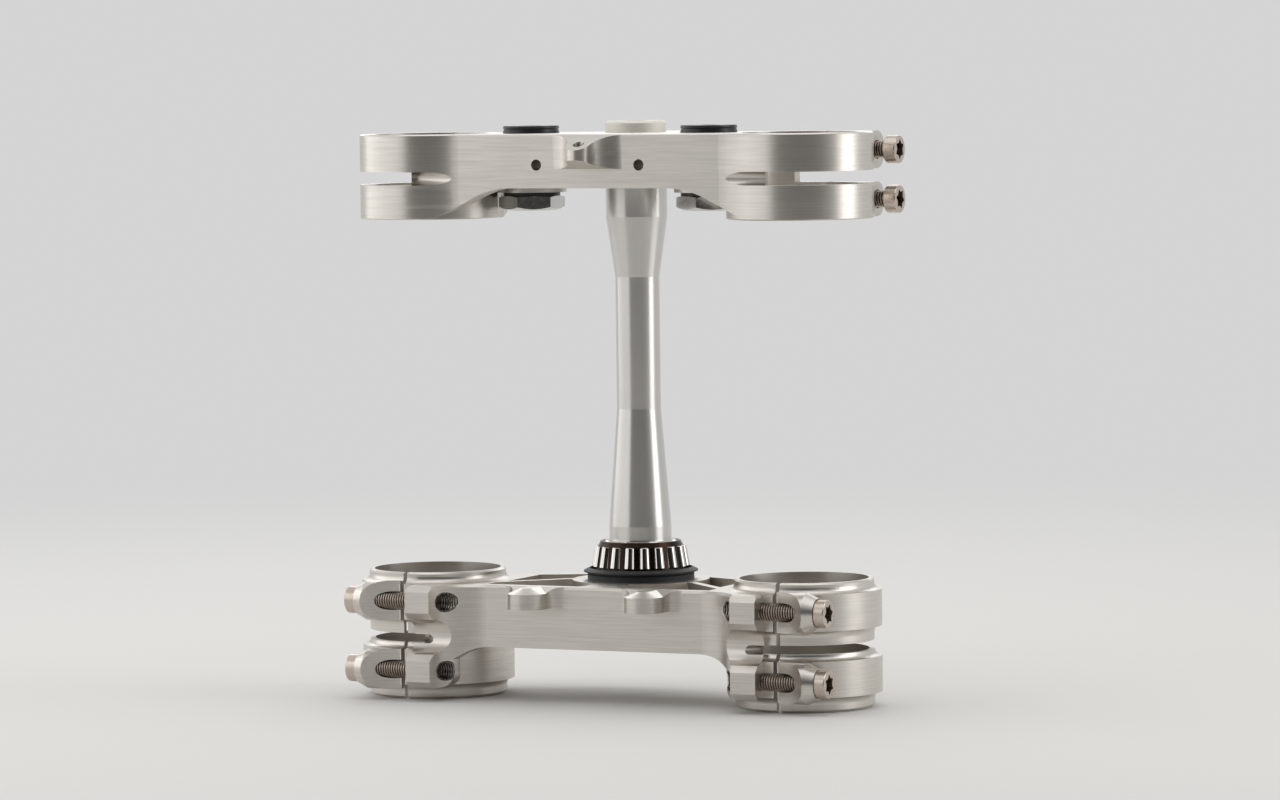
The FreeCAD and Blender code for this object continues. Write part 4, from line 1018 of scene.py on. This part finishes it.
@dataclass
class PhotoCamera:
    """The camera at the picture's place. Angles in degrees, lengths in millimetres."""

    azimuth: float = 25.055
    elevation: float = 3.435
    roll: float = -0.699
    focal_pixels: float = 6184.7
    picture_width: float = 1280.0
    distance: float = 2921.05
    target_right: float = 0.512
    target_height: float = 116.708
    sensor: float = 36.0
    farthest: float = 1000000.0

    def axes(self) -> tuple[Vector, Vector, Vector]:
        """Work out which way the camera looks.

        Returns:
            Its right, up and forward directions before its roll.
        """
        turn = math.radians(self.azimuth)
        tilt = math.radians(self.elevation)
        forward = Vector((-math.sin(turn) * math.cos(tilt), math.cos(turn) * math.cos(tilt),
                          -math.sin(tilt)))
        right = Vector((math.cos(turn), math.sin(turn), 0))
        return right, right.cross(forward), forward

    def build(self) -> None:
        """Make the camera and give it to the scene."""
        right, up, forward = self.axes()
        roll = math.radians(self.roll)
        rolled_right = right * math.cos(roll) + up * math.sin(roll)
        rolled_up = up * math.cos(roll) - right * math.sin(roll)
        target = right * self.target_right + Vector((0, 0, self.target_height))
        place = (target - forward * self.distance) * MM
        lens = bpy.data.cameras.new("photo_camera")
        lens.sensor_width = self.sensor
        lens.lens = self.focal_pixels * self.sensor / self.picture_width
        lens.clip_end = self.farthest * MM
        camera = bpy.data.objects.new("photo_camera", lens)
        turned = Matrix((rolled_right, rolled_up, -forward)).transposed().to_4x4()
        camera.matrix_world = Matrix.Translation(place) @ turned
        bpy.context.collection.objects.link(camera)
        bpy.context.scene.camera = camera
        log.info("camera set")


@dataclass(frozen=True)
class Softbox:
    """A soft lamp: where it stands round the object, seen from the camera, and how bright it is.

    Angles are degrees to the left of the camera and above the floor, lengths are metres, and
    brightness is the light of its own surface, 1 being white.
    """

    name: str
    left: float
    above: float
    distance: float
    width: float
    height: float
    brightness: float

    def build(self, facing: float, aim: Vector) -> None:
        """Set the lamp up.

        Args:
            facing: the camera's azimuth in degrees.
            aim: what it points at, in metres.
        """
        turn = math.radians(facing - self.left)
        rise = math.radians(self.above)
        away = Vector((math.sin(turn) * math.cos(rise), -math.cos(turn) * math.cos(rise), math.sin(rise)))
        lamp = bpy.data.lights.new(self.name, "AREA")
        lamp.shape = "RECTANGLE"
        lamp.size = self.width
        lamp.size_y = self.height
        lamp.energy = self.brightness * math.pi * self.width * self.height
        holder = bpy.data.objects.new(self.name, lamp)
        holder.location = aim + away * self.distance
        holder.rotation_euler = (-away).to_track_quat("-Z", "Y").to_euler()
        bpy.context.collection.objects.link(holder)
        log.info("lamp %s", self.name)


@dataclass
class Studio:
    """A pale floor, a pale room round it and four soft lamps. Lengths are metres.

    The room is dark behind the camera, so that metal has something dark to mirror. wall_fade
    and roof_fade say between which Y and Z of a direction the dark wall gives way.
    """

    floor_colour: str = "#DCDBD8"
    floor_roughness: float = 0.9
    floor_specular: float = 0.2
    room_bright: float = 0.66
    room_dark: float = 0.02
    floor_half: float = 150.0
    near_fade: tuple[float, float] = (0.3, 1.5)
    far_fade: tuple[float, float] = (1.2, 3.0)
    wall_fade: tuple[float, float] = (-0.75, 0.45)
    roof_fade: tuple[float, float] = (0.38, 0.75)
    aim_height: float = 0.11
    lamps: tuple[Softbox, ...] = (
        Softbox("left_box", 86.0, 20.0, 1.6, 2.9, 1.25, 1.2),
        Softbox("right_box", -76.0, 20.0, 1.6, 0.8, 1.4, 2.0),
        Softbox("top_box", 10.0, 82.0, 1.5, 1.6, 1.6, 0.65),
        Softbox("back_box", 180.0, 27.0, 1.6, 1.8, 0.8, 1.2),
    )

    def floor(self) -> None:
        """Lay the floor under the lowest point of the object."""
        clear_selection()
        bpy.ops.mesh.primitive_plane_add(size=2 * self.floor_half, location=(0, 0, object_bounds()[0][2]))
        floor = bpy.context.object
        floor.name = "floor"
        floor.data.materials.append(self.floor_material())
        floor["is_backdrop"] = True

    def floor_material(self) -> bpy.types.Material:
        """A matt pale floor that takes on the room's own tone far away.

        Returns:
            The floor's material. Its far tone shows to the camera, in metal and through glass,
            and gives no light of its own to the object.
        """
        material = bpy.data.materials.new("pale_floor")
        material.use_nodes = True
        tree = material.node_tree
        tree.nodes.clear()
        near = add_node(tree, "ShaderNodeBsdfPrincipled",
                        {"Base Color": linear(self.floor_colour), "Roughness": self.floor_roughness,
                         "Specular IOR Level": self.floor_specular}).outputs[0]
        place = add_node(tree, "ShaderNodeTexCoord").outputs["Object"]
        away = add_node(tree, "ShaderNodeVectorMath", {"operation": "LENGTH"}, {0: place}).outputs["Value"]
        near_share, far_share = (
            add_node(tree, "ShaderNodeMapRange",
                     {"From Min": start, "From Max": end, "interpolation_type": "SMOOTHSTEP"},
                     {"Value": away}).outputs[0] for start, end in (self.near_fade, self.far_fade))
        way = add_node(tree, "ShaderNodeVectorMath", {"operation": "NORMALIZE"}, {0: place}).outputs["Vector"]
        tone = add_node(tree, "ShaderNodeMix", {"data_type": "FLOAT", 2: self.room_bright},
                        {0: far_share, 3: self.room_level(tree, way)}).outputs[0]
        glow = add_node(tree, "ShaderNodeEmission", None, {"Strength": tone}).outputs[0]
        path = add_node(tree, "ShaderNodeLightPath").outputs
        seen = path["Is Camera Ray"]
        for kind in ("Is Glossy Ray", "Is Transmission Ray"):
            seen = add_node(tree, "ShaderNodeMath", {"operation": "MAXIMUM"},
                            {0: seen, 1: path[kind]}).outputs[0]
        share = add_node(tree, "ShaderNodeMath", {"operation": "MULTIPLY"},
                         {0: near_share, 1: seen}).outputs[0]
        mixed = add_node(tree, "ShaderNodeMixShader", None, {0: share, 1: near, 2: glow})
        add_node(tree, "ShaderNodeOutputMaterial", None, {"Surface": mixed.outputs[0]})
        return material

    def room_level(self, tree: bpy.types.NodeTree, way: bpy.types.NodeSocket) -> bpy.types.NodeSocket:
        """Work out how bright the room is in a direction: pale, with a dark wall behind the camera.

        Args:
            tree: the node tree that asks.
            way: the direction.

        Returns:
            The brightness.
        """
        parts = add_node(tree, "ShaderNodeSeparateXYZ", None, {0: way}).outputs
        ahead, high = (
            add_node(tree, "ShaderNodeMapRange",
                     {"From Min": start, "From Max": end, "interpolation_type": "SMOOTHSTEP"},
                     {"Value": parts[axis]}).outputs[0]
            for axis, (start, end) in (("Y", self.wall_fade), ("Z", self.roof_fade)))
        pale = add_node(tree, "ShaderNodeMath", {"operation": "MAXIMUM"}, {0: ahead, 1: high}).outputs[0]
        return add_node(tree, "ShaderNodeMapRange",
                        {"To Min": self.room_dark, "To Max": self.room_bright}, {"Value": pale}).outputs[0]

    def room(self) -> None:
        """Light the room: pale where the camera looks, dimmer behind it."""
        world = bpy.data.worlds.new("room")
        bpy.context.scene.world = world
        world.use_nodes = True
        tree = world.node_tree
        tree.nodes.clear()
        way = add_node(tree, "ShaderNodeTexCoord").outputs["Generated"]
        light = add_node(tree, "ShaderNodeBackground", {"Color": (1, 1, 1, 1)},
                         {"Strength": self.room_level(tree, way)})
        add_node(tree, "ShaderNodeOutputWorld", None, {"Surface": light.outputs[0]})

    def build(self, camera: PhotoCamera) -> None:
        """Set up floor, room and lamps.

        Args:
            camera: the camera, for the side that it stands on.
        """
        self.floor()
        self.room()
        aim = Vector((0, 0, self.aim_height))
        for lamp in self.lamps:
            lamp.build(camera.azimuth, aim)
        bpy.context.scene.view_settings.view_transform = "Standard"


def main() -> None:
    """Build and dress the object, then the studio round it."""
    logging.basicConfig(level=logging.INFO, format="%(message)s")
    Clamps().build()
    TappedHoles().build()
    Stem().build()
    LowerBearing().build()
    BarMounts().build()
    PinchBolts(SocketBolt()).build()
    camera = PhotoCamera()
    camera.build()
    Studio().build(camera)


if __name__ == "__main__":
    main()
